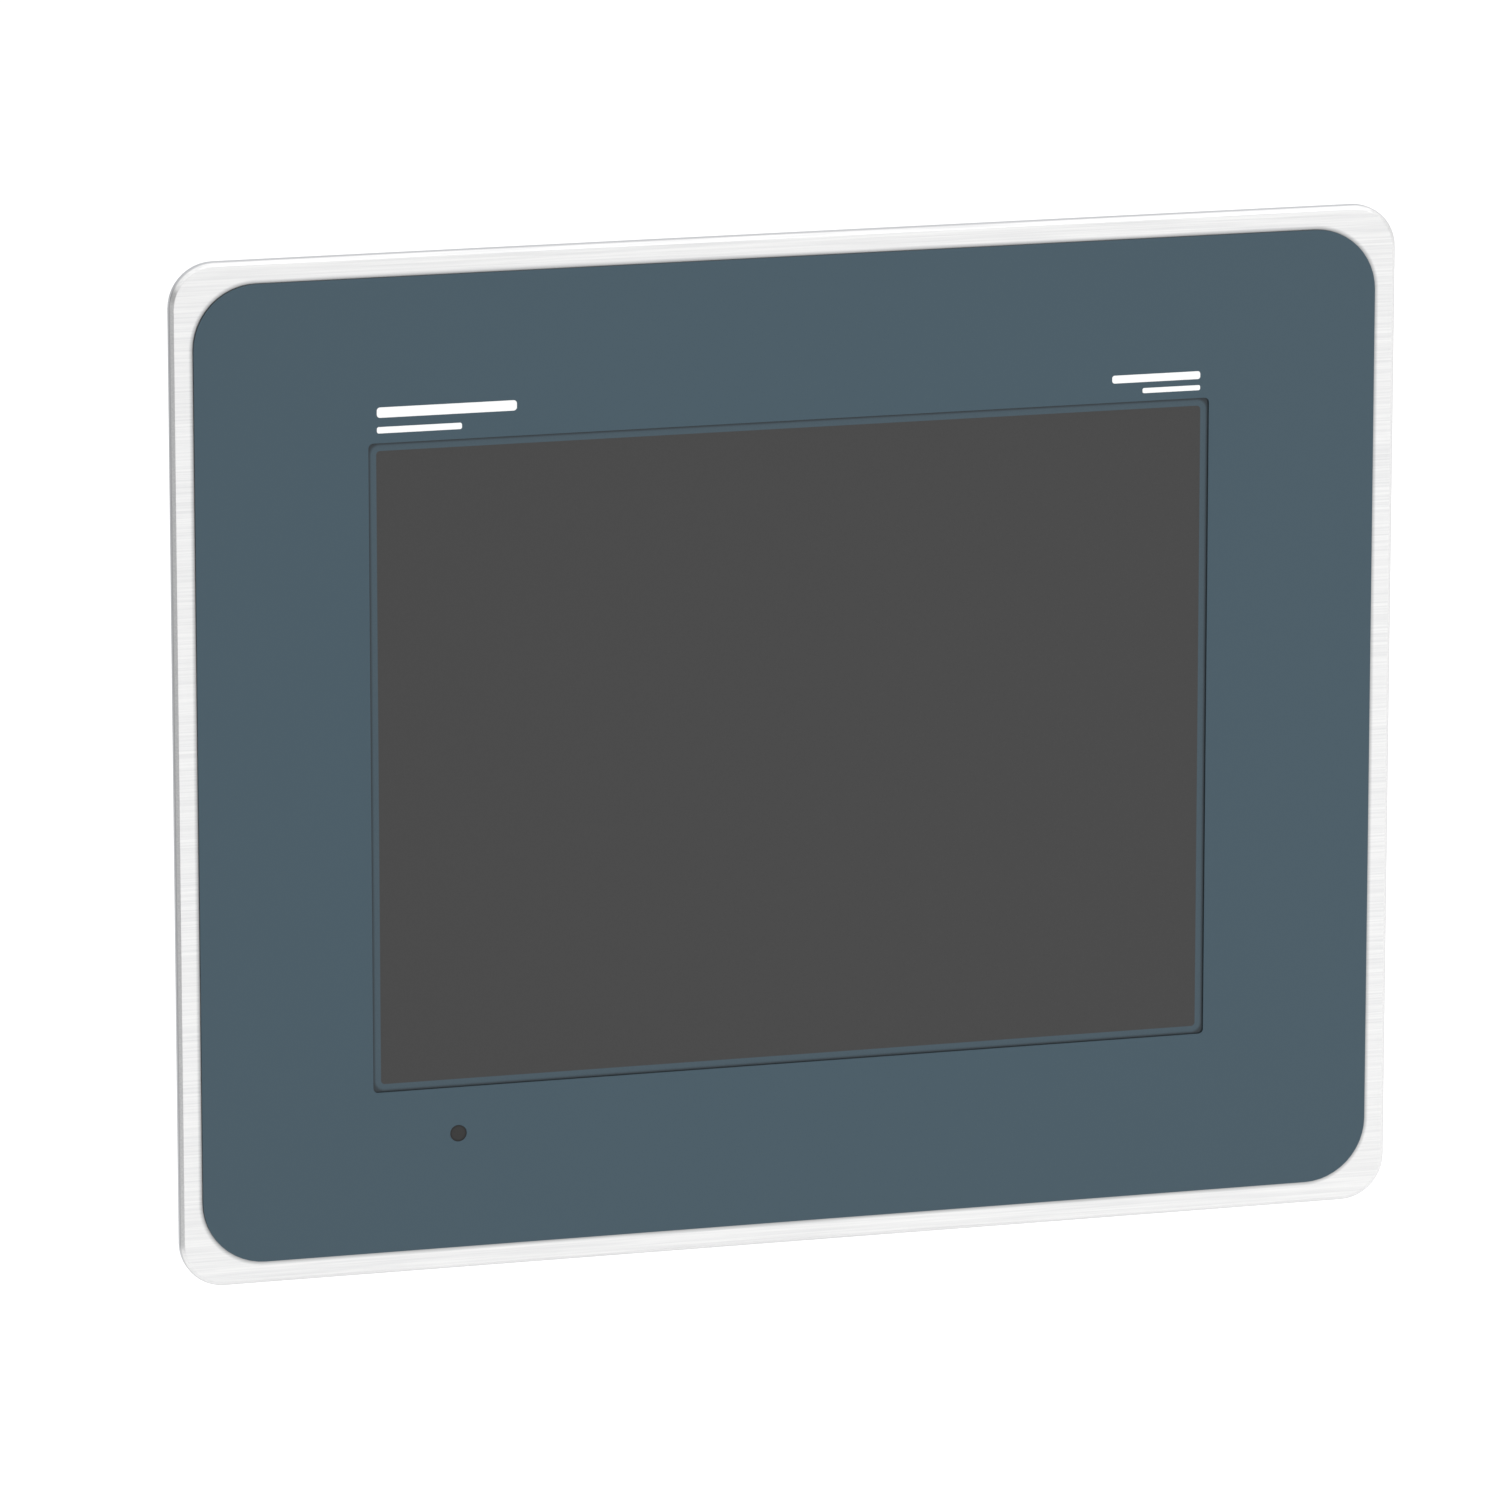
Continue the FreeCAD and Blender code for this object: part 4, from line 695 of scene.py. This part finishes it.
def knurled_head(radius, low, high):
    """Screw head along +z with a straight knurl between two plain rims."""
    def plain(share):
        return lambda a: radius * share

    def knurled(a):
        return radius * (0.985 if round(a * KNURL_TEETH / math.pi) % 2 else 0.925)

    rings = [(low, plain(0.86)), (low + 0.3 * MM, plain(0.99)), (low + 0.6 * MM, plain(0.99)),
             (low + 0.7 * MM, knurled), (high - 1.0 * MM, knurled), (high - 0.9 * MM, plain(0.99)),
             (high - 0.5 * MM, plain(0.99)), (high - 0.12 * MM, plain(0.93)), (high, plain(0.86))]
    mesh = bmesh.new()
    ring_stack(mesh, rings, 2 * KNURL_TEETH)
    return mesh


def slotted(head, low, high):
    """The head's mesh with a driver slot cut across it between two heights."""
    cutter = bmesh.new()
    prism(cutter, round_rect(SLOT_LENGTH, SLOT_WIDTH, 0.05 * MM), low, high)
    bmesh.ops.recalc_face_normals(cutter, faces=cutter.faces)
    tool = mesh_object(cutter, "slot_cutter")
    blank = mesh_object(head, "screw_head")
    slot = blank.modifiers.new("slot", "BOOLEAN")
    slot.operation = "DIFFERENCE"
    slot.object = tool
    slot.solver = "EXACT"
    bpy.context.view_layer.update()
    cut = bpy.data.meshes.new_from_object(blank.evaluated_get(bpy.context.evaluated_depsgraph_get()))
    for spare in (blank, tool):
        bpy.data.objects.remove(spare)
    return cut


def clamp_screws():
    """Threaded screws in place of the plain ones, with a knurled head and a driver slot."""
    low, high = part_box("clamp_screw_1")
    length = high.y - low.y
    mesh = threaded_shank(TIP_LENGTH, length - HEAD_LENGTH + HEAD_OVERLAP)
    head = knurled_head((high.x - low.x) / 2, length - HEAD_LENGTH, length)
    mesh.from_mesh(slotted(head, length - SLOT_DEPTH, length + SLOT_DEPTH / 2))
    finished = bpy.data.meshes.new("threaded_screw")
    mesh.to_mesh(finished)
    mesh.free()
    finished.materials.append(LOOKS["clamp_screw_steel"])
    finished.shade_smooth()
    finished.set_sharp_from_angle(angle=SCREW_SHARP_FROM)
    for i in range(1, CLAMP_COUNT + 1):
        tip = middle_of(f"clamp_screw_{i}")
        tip.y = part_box(f"clamp_screw_{i}")[0].y
        piece = new_object(f"threaded_screw_{i}", finished)
        turn = Matrix.Rotation(math.radians(25 * i), 4, "Z")
        piece.matrix_world = on_rear(*tip) @ turn
        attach(piece, f"screw_{i}")
        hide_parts(f"clamp_screw_{i}")


def clamp_pads():
    """Nylon pressure pads with a ribbed face and a collar round the screw tip."""
    for i in range(1, CLAMP_COUNT + 1):
        low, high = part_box(f"clamp_pad_{i}")
        middle = (low + high) / 2
        radius = (high.x - low.x) / 2
        thick = high.y - low.y
        mesh = bmesh.new()
        profile = [(0, 0.25 * MM), (radius * 0.22, 0.25 * MM), (radius * 0.28, 0.0), (radius * 0.42, 0.0),
                   (radius * 0.48, 0.25 * MM), (radius * 0.58, 0.25 * MM), (radius * 0.64, 0.0),
                   (radius * 0.86, 0.0), (radius * 0.97, 0.2 * MM), (radius, 0.6 * MM),
                   (radius, thick - 0.9 * MM), (radius * 0.95, thick - 0.6 * MM),
                   (radius * 0.62, thick - 0.5 * MM), (radius * 0.58, thick), (TIP_HOLE, thick),
                   (TIP_HOLE, thick - TIP_LENGTH), (0, thick - TIP_LENGTH)]
        lathe(mesh, profile, on_rear(middle.x, low.y, middle.z))
        piece = finish_piece(mesh, f"ribbed_pad_{i}", LOOKS["clamp_pad_plastic"], f"pad_{i}")
        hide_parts(f"clamp_pad_{i}")


# ---- rear

# How far raised pieces reach into the surface that they stand on.
SUNK = 0.03 * MM
LABEL_INK_THICKNESS = 0.02 * MM
LABEL_INSET = 2.5 * MM
LABEL_LINE = 0.35 * MM
LABEL_ROWS = 4
LABEL_GAP = 1.5 * MM
LABEL_FRAME = 1.2 * MM
RIB_ROWS = 5
RIB_PITCH = 7 * MM
RIB_LENGTH = 74 * MM
RIB_WIDTH = 2 * MM
TOP_RIB = (42 * MM, 8 * MM)
# Places of the ejector rings on the back of the cover, x and z in millimetres.
EJECTOR_PLACES = ((-102, 74), (102, 74), (-102, -68), (102, -68), (40, -68))
# How far the ports stand out of the housing, and the gap round each in millimetres.
PORT_PROUD = 0.2 * MM
PORT_GAPS = {"power_header": 0.9, "ethernet_jack": 0.6, "usb_host_socket": 0.6, "usb_device_socket": 0.6}
HEAD_AND_WASHER = 3.4 * MM
# Offset in x and z, width and height of the strokes of the earth sign, in millimetres.
EARTH_STROKES = ((0, 1.5, 0.5, 2.8), (0, 0.0, 4.6, 0.55), (0, -1.2, 3.0, 0.55), (0, -2.4, 1.4, 0.55))


def add_moulding(mesh, name, body):
    """Finish a piece that is moulded with the housing or the door."""
    finish_piece(mesh, name, LOOKS["housing_black"], body)


def rear_label():
    """Thin printed frame and blank ruled fields on the rating label."""
    low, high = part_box("rating_label")
    middle = (low + high) / 2
    mesh = bmesh.new()
    width, height = high.x - low.x, high.z - low.z

    def bar(x, z, bar_width, bar_height):
        place = on_rear(middle.x + x, high.y, middle.z + z)
        outline = round_rect(bar_width, bar_height, min(bar_width, bar_height) * 0.2, steps=2)
        prism(mesh, outline, 0.0, LABEL_INK_THICKNESS, place)

    inner_width, inner_height = width - 2 * LABEL_INSET, height - 2 * LABEL_INSET
    for side in (-1, 1):
        bar(0, side * (height / 2 - LABEL_INSET), inner_width, LABEL_LINE)
        bar(side * (width / 2 - LABEL_INSET), 0, LABEL_LINE, inner_height)
    for row in range(1, LABEL_ROWS):
        bar(0, height / 2 - LABEL_INSET - row * inner_height / LABEL_ROWS, inner_width, LABEL_LINE)
    bar(width * 0.12, 0, LABEL_LINE, inner_height)
    look = Look("label_ink", (0.03, 0.03, 0.032), 0.5)
    look.vary_colour(look.noise(3000.0), 0.2)
    look.vary_roughness(look.noise(2500.0), 0.4, 0.6)
    finish_piece(mesh, "label_fields", look.material, "terminal")


def raised_frame(mesh, place, inner, outer, height, corner=1.0 * MM):
    """Add a raised round-cornered frame between two outlines, with softened top edges."""
    soft = min(0.15 * MM, height * 0.4)
    loops = []
    outer_top = (outer[0] - 2 * soft, outer[1] - 2 * soft)
    inner_top = (inner[0] + 2 * soft, inner[1] + 2 * soft)
    for size, level in ((outer, 0.0), (outer, height - soft), (outer_top, height),
                        (inner_top, height), (inner, height - soft), (inner, 0.0)):
        radius = max(0.05 * MM, corner - (outer[0] - size[0]) / 2)
        loops.append(ring(mesh, round_rect(*size, radius, steps=5), level, place))
    skin(mesh, loops + loops[:1], capped=False)


def raised_bar(mesh, place, width, height, proud):
    """Add a raised bar with round ends and a softened top edge."""
    soft = proud * 0.45
    loops = []
    for inset, level in ((0.0, 0.0), (0.0, proud - soft), (soft * 0.35, proud - soft * 0.3), (soft, proud)):
        size = (width - 2 * inset, height - 2 * inset)
        loops.append(ring(mesh, round_rect(*size, min(size) / 2 * 0.98), level, place))
    skin(mesh, loops)


def cover_mouldings():
    """Raised frame round the label, styling ribs and ejector rings on the back of the cover."""
    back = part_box("rear_cover")[1].y - SUNK
    label, size = middle_of("rating_label"), size_of("rating_label")
    inner = (size.x + 2 * LABEL_GAP, size.z + 2 * LABEL_GAP)
    outer = (inner[0] + 2 * LABEL_FRAME, inner[1] + 2 * LABEL_FRAME)
    mesh = bmesh.new()
    raised_frame(mesh, on_rear(label.x, back, label.z), inner, outer, 0.5 * MM + SUNK, 2 * MM)
    add_moulding(mesh, "label_frame", "terminal")
    mesh = bmesh.new()
    for row in range(RIB_ROWS):
        place = on_rear(TOP_RIB[0], back, TOP_RIB[1] - row * RIB_PITCH)
        raised_bar(mesh, place, RIB_LENGTH, RIB_WIDTH, 0.6 * MM + SUNK)
    add_moulding(mesh, "cover_ribs", "terminal")
    mesh = bmesh.new()
    for x, z in EJECTOR_PLACES:
        profile = [(2.6 * MM, 0.0), (2.6 * MM, 0.04 * MM + SUNK), (2.9 * MM, 0.08 * MM + SUNK),
                   (3.2 * MM, 0.04 * MM + SUNK), (3.2 * MM, 0.0), (2.6 * MM, 0.0)]
        lathe(mesh, profile, on_rear(x * MM, back, z * MM), 40)
    add_moulding(mesh, "ejector_rings", "terminal")


def port_surrounds():
    """Raised frames round the port openings under the housing."""
    mesh = bmesh.new()
    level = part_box("power_header")[0].z + PORT_PROUD + SUNK
    for node, spare in PORT_GAPS.items():
        size, middle = size_of(node), middle_of(node)
        inner = (size.x + 2 * spare * MM, size.y + 2 * spare * MM)
        place = Matrix.Translation((middle.x, middle.y, level)) @ DOWNWARDS
        raised_frame(mesh, place, inner, (inner[0] + 2 * MM, inner[1] + 2 * MM), 0.5 * MM + SUNK)
    add_moulding(mesh, "port_frames", "terminal")


def door_grip():
    """Three finger ridges on the outside of the card door."""
    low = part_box("card_door")[0]
    mesh = bmesh.new()
    for row in range(3):
        start = (low.x + SUNK, low.y + (3.0 + 2.0 * row) * MM, middle_of("card_door").z)
        raised_bar(mesh, Matrix.Translation(start) @ TO_LEFT, 14 * MM, 0.9 * MM, 0.45 * MM + SUNK)
    add_moulding(mesh, "door_ridges", "card_door")


def clamp_bosses():
    """Cast ring round each screw hole on the back of each bracket."""
    mesh = bmesh.new()
    bracket_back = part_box("clamp_brackets")[1].y - SUNK
    for i in range(1, CLAMP_COUNT + 1):
        middle = middle_of(f"clamp_screw_{i}")
        profile = [(2.7 * MM, 0.0), (2.7 * MM, 0.5 * MM), (2.85 * MM, 0.6 * MM), (3.6 * MM, 0.6 * MM),
                   (3.9 * MM, 0.4 * MM), (4.1 * MM, 0.0), (2.7 * MM, 0.0)]
        lathe(mesh, profile, on_rear(middle.x, bracket_back, middle.z), 40)
    finish_piece(mesh, "clamp_bosses", LOOKS["clamp_steel"], "terminal")


def loose_boxes(node):
    """The box of every separate solid in a CAD node."""
    mesh = bmesh.new()
    mesh.from_mesh(NODES[node].data)
    mesh.transform(NODES[node].matrix_world)
    bmesh.ops.remove_doubles(mesh, verts=mesh.verts, dist=MICRON)
    boxes = []
    unseen = set(mesh.verts)
    while unseen:
        stack = [unseen.pop()]
        points = []
        while stack:
            vert = stack.pop()
            points.append(vert.co.copy())
            for edge in vert.link_edges:
                other = edge.other_vert(vert)
                if other in unseen:
                    unseen.discard(other)
                    stack.append(other)
        boxes.append(tuple(Vector([pick(point[axis] for point in points) for axis in range(3)])
                           for pick in (min, max)))
    mesh.free()
    return boxes


BOARD_NEIGHBOURS = ("processor", "heat_sink", "memory_chips", "capacitors", "battery_holder", "card_socket",
                    "board_screws", "power_header", "ethernet_jack", "usb_host_socket", "usb_device_socket",
                    "serial_port")
BOARD_MARGIN = 5 * MM
# Small components: body colour, roughness, size in millimetres and count.
COMPONENTS = {
    "chip_resistors": ((0.020, 0.020, 0.022), 0.40, (1.6, 0.8, 0.5), 110),
    "chip_capacitors": ((0.36, 0.24, 0.13), 0.45, (2.0, 1.2, 1.1), 90),
    "choke_coils": ((0.055, 0.053, 0.052), 0.60, (6.0, 6.0, 3.6), 8),
}


def small_components():
    """Resistors, capacitors and coils on the main board, seen through the vent slots."""
    low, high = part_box("main_board")
    taken = [box for node in BOARD_NEIGHBOURS for box in loose_boxes(node)]
    spots = random.Random(17)
    for name, (colour, roughness, size, count) in COMPONENTS.items():
        mesh = bmesh.new()
        reach = max(size) * MM * 0.6
        placed = 0
        while placed < count:
            x = spots.uniform(low.x + BOARD_MARGIN, high.x - BOARD_MARGIN)
            z = spots.uniform(low.z + BOARD_MARGIN, high.z - BOARD_MARGIN)
            if any(a.x - reach < x < b.x + reach and a.z - reach < z < b.z + reach for a, b in taken):
                continue
            half = Vector((reach, 0.0, reach))
            taken.append((Vector((x, 0.0, z)) - half, Vector((x, 0.0, z)) + half))
            turn = Matrix.Rotation(spots.choice((0, 1)) * math.pi / 2, 4, "Z")
            place = on_rear(x, high.y - SUNK, z) @ turn
            raised_block(mesh, place, [s * MM for s in size])
            placed += 1
        look = component_body(f"{name}_body", colour, roughness)
        finish_piece(mesh, name, look, "terminal")


def earth_symbol():
    """Printed earth sign on the step beside the earth screw."""
    screw = middle_of("earth_screw")
    x, z = screw.x + 10 * MM, screw.z
    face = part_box("earth_screw")[1].y - HEAD_AND_WASHER
    mesh = bmesh.new()
    for dx, dz, width, height in EARTH_STROKES:
        place = on_rear(x + dx * MM, face, z + dz * MM)
        prism(mesh, round_rect(width * MM, height * MM, 0.2 * MM, steps=3), -0.02 * MM, 0.04 * MM, place)
    finish_piece(mesh, "earth_sign", INK, "terminal")


# ---- ports

NETWORK_CONTACTS = 8
NETWORK_PITCH = 1.02 * MM
# Spacing of the serial sockets in a row, and each row's distance from the port's middle.
SERIAL_PITCH = 2.77 * MM
SERIAL_ROW = 1.42 * MM


def add_port_piece(mesh, name, look):
    """Finish a small piece inside a port."""
    finish_piece(mesh, name, look, "terminal")


def port_materials():
    """Materials of the small pieces inside the ports."""
    gold = metal("contact_gold", (0.83, 0.60, 0.26), 0.22, (1, 1, 0.05))
    insert = moulded("port_insert_black", (0.022, 0.022, 0.024), 2600.0, 10 * MICRON, 0.42)
    white = white_plastic("tongue_white", (0.70, 0.70, 0.68), 0.4)
    return gold, insert, white


def box_piece(mesh, low, high, round_by=0.0):
    """Add a box between corners; its outline across z has round corners."""
    width, depth = high[0] - low[0], high[1] - low[1]
    centre = ((low[0] + high[0]) / 2, (low[1] + high[1]) / 2)
    radius = max(round_by, min(width, depth) * 0.08)
    prism(mesh, round_rect(width, depth, radius, centre, 3), low[2], high[2])


def ethernet_details(gold):
    """Eight spring contacts and two lamp windows in the network jack."""
    low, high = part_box("ethernet_jack")
    middle = (low.x + high.x) / 2
    board_side = low.y + 1.4 * MM
    section = round_rect(0.36 * MM, 0.24 * MM, 0.04 * MM, steps=2)
    mesh = bmesh.new()
    for i in range(NETWORK_CONTACTS):
        x = middle + (i - (NETWORK_CONTACTS - 1) / 2) * NETWORK_PITCH
        start = Vector((x, board_side + 0.45 * MM, low.z + 1.6 * MM))
        end = Vector((x, board_side + 3.1 * MM, low.z + 9.6 * MM))
        turn = (end - start).to_track_quat("Z", "Y").to_matrix().to_4x4()
        prism(mesh, section, 0.0, (end - start).length, Matrix.Translation(start) @ turn)
    add_port_piece(mesh, "network_contacts", gold)
    colours = {"lamp_window_green": (0.02, 0.20, 0.05), "lamp_window_amber": (0.45, 0.22, 0.02)}
    for side, (name, colour) in zip((-1, 1), colours.items()):
        look = Look(f"{name}_plastic", colour, 0.25)
        look.vary_colour(look.noise(900.0), 0.1)
        look.vary_roughness(look.noise(700.0), 0.2, 0.35)
        mesh = bmesh.new()
        x = middle + side * 5.9 * MM
        box_piece(mesh, (x - 1.2 * MM, high.y - 3.0 * MM, low.z - 0.06 * MM),
                  (x + 1.2 * MM, high.y - 1.2 * MM, low.z + 0.5 * MM), 0.3 * MM)
        add_port_piece(mesh, name, look.material)


def usb_details(gold, insert, white):
    """Tongues and contacts of the two USB sockets."""
    low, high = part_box("usb_host_socket")
    middle = (low.x + high.x) / 2
    mesh = bmesh.new()
    box_piece(mesh, (low.x + 0.95 * MM, low.y + 2.96 * MM, low.z + 1.1 * MM),
              (high.x - 0.95 * MM, low.y + 4.94 * MM, low.z + 11.4 * MM), 0.3 * MM)
    add_port_piece(mesh, "host_tongue", white)
    mesh = bmesh.new()
    for x in (-3.5, -1.0, 1.0, 3.5):
        box_piece(mesh, (middle + (x - 0.5) * MM, low.y + 2.85 * MM, low.z + 2.0 * MM),
                  (middle + (x + 0.5) * MM, low.y + 2.97 * MM, low.z + 9.5 * MM))
    low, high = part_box("usb_device_socket")
    middle = (low.x + high.x) / 2
    for x in (-1.25, 1.25):
        for y in (3.48, 6.82):
            box_piece(mesh, (middle + (x - 0.5) * MM, low.y + y * MM, low.z + 1.4 * MM),
                      (middle + (x + 0.5) * MM, low.y + (y + 0.12) * MM, low.z + 8.0 * MM))
    add_port_piece(mesh, "usb_contacts", gold)
    mesh = bmesh.new()
    box_piece(mesh, (middle - 2.86 * MM, low.y + 3.56 * MM, low.z + 0.74 * MM),
              (middle + 2.86 * MM, low.y + 6.84 * MM, low.z + 8.9 * MM), 0.4 * MM)
    add_port_piece(mesh, "device_tongue", insert)


def soft_outline(corners, cut, steps=4):
    """Outline of a polygon with each corner rounded from a distance before it to one after it."""
    points = []
    for i, corner in enumerate(corners):
        here = Vector(corner)
        start = here + (Vector(corners[i - 1]) - here).normalized() * cut
        end = here + (Vector(corners[(i + 1) % len(corners)]) - here).normalized() * cut
        for step in range(steps + 1):
            share = step / steps
            points.append((1 - share) ** 2 * start + 2 * share * (1 - share) * here + share ** 2 * end)
    return points


def serial_details(gold, insert):
    """Black insulator in the D-shaped shell of the serial port, with nine gold-lined sockets."""
    mouth = middle_of("serial_port")
    mouth.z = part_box("serial_port")[0].z
    x, y = mouth.x, mouth.y
    wide, narrow, half = 7.8 * MM, 6.6 * MM, 3.4 * MM
    face = soft_outline(((x - wide, y - half), (x + wide, y - half), (x + narrow, y + half),
                         (x - narrow, y + half)), 1.4 * MM)
    mesh = bmesh.new()
    prism(mesh, face, mouth.z - 0.06 * MM, mouth.z + 0.02 * MM)
    add_port_piece(mesh, "serial_insulator", insert)
    mesh = bmesh.new()
    profile = [(0.60 * MM, -0.10 * MM), (0.86 * MM, -0.10 * MM), (0.86 * MM, 0.02 * MM),
               (0.58 * MM, 0.02 * MM), (0.58 * MM, 4.2 * MM), (0.40 * MM, 4.2 * MM),
               (0.40 * MM, -0.04 * MM), (0.60 * MM, -0.10 * MM)]
    for row, count in ((-SERIAL_ROW, 5), (SERIAL_ROW, 4)):
        for i in range(count):
            along = (i - (count - 1) / 2) * SERIAL_PITCH
            place = Matrix.Translation((x + along, y + row, mouth.z))
            lathe(mesh, profile, place, 20)
    add_port_piece(mesh, "serial_contacts", gold)


def port_details():
    """All the small pieces inside the ports."""
    gold, insert, white = port_materials()
    ethernet_details(gold)
    usb_details(gold, insert, white)
    serial_details(gold, insert)


# ---- stage

AZIMUTH = math.radians(-16.1775)
ELEVATION = math.radians(12.7345)
CAMERA_LENS = 257.6
CAMERA_DISTANCE = 2.68328
CAMERA_LEFT = 0.01076
CAMERA_DOWN = 0.00152
FLOOR_DROP = 0.17
FLOOR_REACH = 14.0
# The floor's grey patch: its fading stretches in x and in distance from the middle in y.
PATCH_RIGHT = (-0.85, -0.45)
PATCH_LEFT = (-5.5, -4.0)
PATCH_DEPTH = (1.6, 3.0)
PATCH_GREY = (0.44, 0.445, 0.45)
# Brightness of the sky, and the direction components between which it changes.
SKY_LEFT = 0.42
SKY_HORIZON = 1.0
SKY_TOP = 1.26
SKY_SIDE = (-0.95, -0.15)
SKY_RAISED = (0.24, 0.46)
SKY_CLIMB = (0.1, 0.9)
# Place, side of the square panel and power of each light.
LIGHTS = {"key": ((0.9, -1.6, 2.2), 1.6, 10), "fill": ((1.8, -1.4, 0.8), 1.4, 2)}


def add_camera():
    """The camera at the photograph's viewing angle, a little left of and below the face's middle."""
    back = Vector((math.sin(AZIMUTH) * math.cos(ELEVATION), -math.cos(AZIMUTH) * math.cos(ELEVATION),
                   math.sin(ELEVATION)))
    right = Vector((math.cos(AZIMUTH), math.sin(AZIMUTH), 0.0))
    up = back.cross(right)
    face = Vector((0.0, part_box("front_overlay")[0].y, 0.0))
    data = bpy.data.cameras.new("camera")
    data.lens = CAMERA_LENS
    data.sensor_width = 36.0
    data.clip_start = 0.1
    data.clip_end = 60.0
    camera = new_object("camera", data)
    place = face + back * CAMERA_DISTANCE - right * CAMERA_LEFT - up * CAMERA_DOWN
    camera.matrix_world = Matrix.Translation(place) @ Matrix((right, up, back)).transposed().to_4x4()
    bpy.context.scene.camera = camera


def add_floor():
    """A plain pale floor below the object, with a soft grey patch on the left."""
    mesh = bmesh.new()
    level = CAD_BOX[0][2] - FLOOR_DROP
    corners = ((-1, -1), (1, -1), (1, 1), (-1, 1))
    mesh.faces.new([mesh.verts.new((x * FLOOR_REACH, y * FLOOR_REACH, level)) for x, y in corners])
    floor = mesh_object(mesh, "floor")
    look = Look("pale_floor", (0.97, 0.97, 0.97), 0.9, Specular_IOR_Level=0.0)
    towards_right = look.share(look.along("X"), *PATCH_RIGHT)
    towards_left = look.ramp(look.along("X"), 1.0, 0.0, *PATCH_LEFT)
    away = look.share(look.math("ABSOLUTE", look.along("Y")), *PATCH_DEPTH)
    clear = look.math("MAXIMUM", away, look.math("MAXIMUM", towards_right, towards_left))
    mottle = look.mix(look.noise(3.0), (0.966, 0.966, 0.966), (0.974, 0.974, 0.974))
    look.paint(look.mix(clear, PATCH_GREY, mottle))
    floor.data.materials.append(look.material)


def add_light(name, place, side, power):
    """A soft square studio light that faces the origin."""
    data = bpy.data.lights.new(name, "AREA")
    data.shape = "RECTANGLE"
    data.size = side
    data.size_y = side
    data.energy = power
    light = new_object(name, data)
    light.location = place
    light.rotation_euler = (-Vector(place)).to_track_quat("-Z", "Y").to_euler()


def studio_sky(world):
    """White surroundings, brightest overhead and falling off low down on the left."""
    tree = world.node_tree
    axes = tree.nodes.new("ShaderNodeSeparateXYZ")
    tree.links.new(tree.nodes.new("ShaderNodeTexCoord").outputs["Generated"], axes.inputs[0])

    def ramp(socket, start, end, low, high):
        node = tree.nodes.new("ShaderNodeMapRange")
        node.interpolation_type = "SMOOTHSTEP"
        tree.links.new(socket, node.inputs["Value"])
        for name, value in (("From Min", start), ("From Max", end), ("To Min", low), ("To Max", high)):
            node.inputs[name].default_value = value
        return node.outputs["Result"]

    def combine(operation, first, second):
        node = tree.nodes.new("ShaderNodeMath")
        node.operation = operation
        tree.links.new(first, node.inputs[0])
        tree.links.new(second, node.inputs[1])
        return node.outputs[0]

    sideways = ramp(axes.outputs["X"], *SKY_SIDE, SKY_LEFT, 1.0)
    raised = ramp(axes.outputs["Z"], *SKY_RAISED, 0.0, 1.0)
    upward = ramp(axes.outputs["Z"], *SKY_CLIMB, SKY_HORIZON, SKY_TOP)
    low_left = combine("MAXIMUM", sideways, raised)
    strength = combine("MULTIPLY", low_left, upward)
    tree.links.new(strength, tree.nodes["Background"].inputs["Strength"])


def add_studio():
    """White surroundings, with a large soft key above the right shoulder and a weak fill."""
    world = bpy.data.worlds.new("studio")
    bpy.context.scene.world = world
    world.use_nodes = True
    world.node_tree.nodes["Background"].inputs["Color"].default_value = (1, 1, 1, 1)
    studio_sky(world)
    for name, settings in LIGHTS.items():
        add_light(name, *settings)
    bpy.context.scene.view_settings.view_transform = "Standard"


dress_nodes()
front_marks()
clamp_screws()
clamp_pads()
rear_label()
cover_mouldings()
port_surrounds()
door_grip()
clamp_bosses()
small_components()
earth_symbol()
port_details()
add_camera()
add_floor()
add_studio()
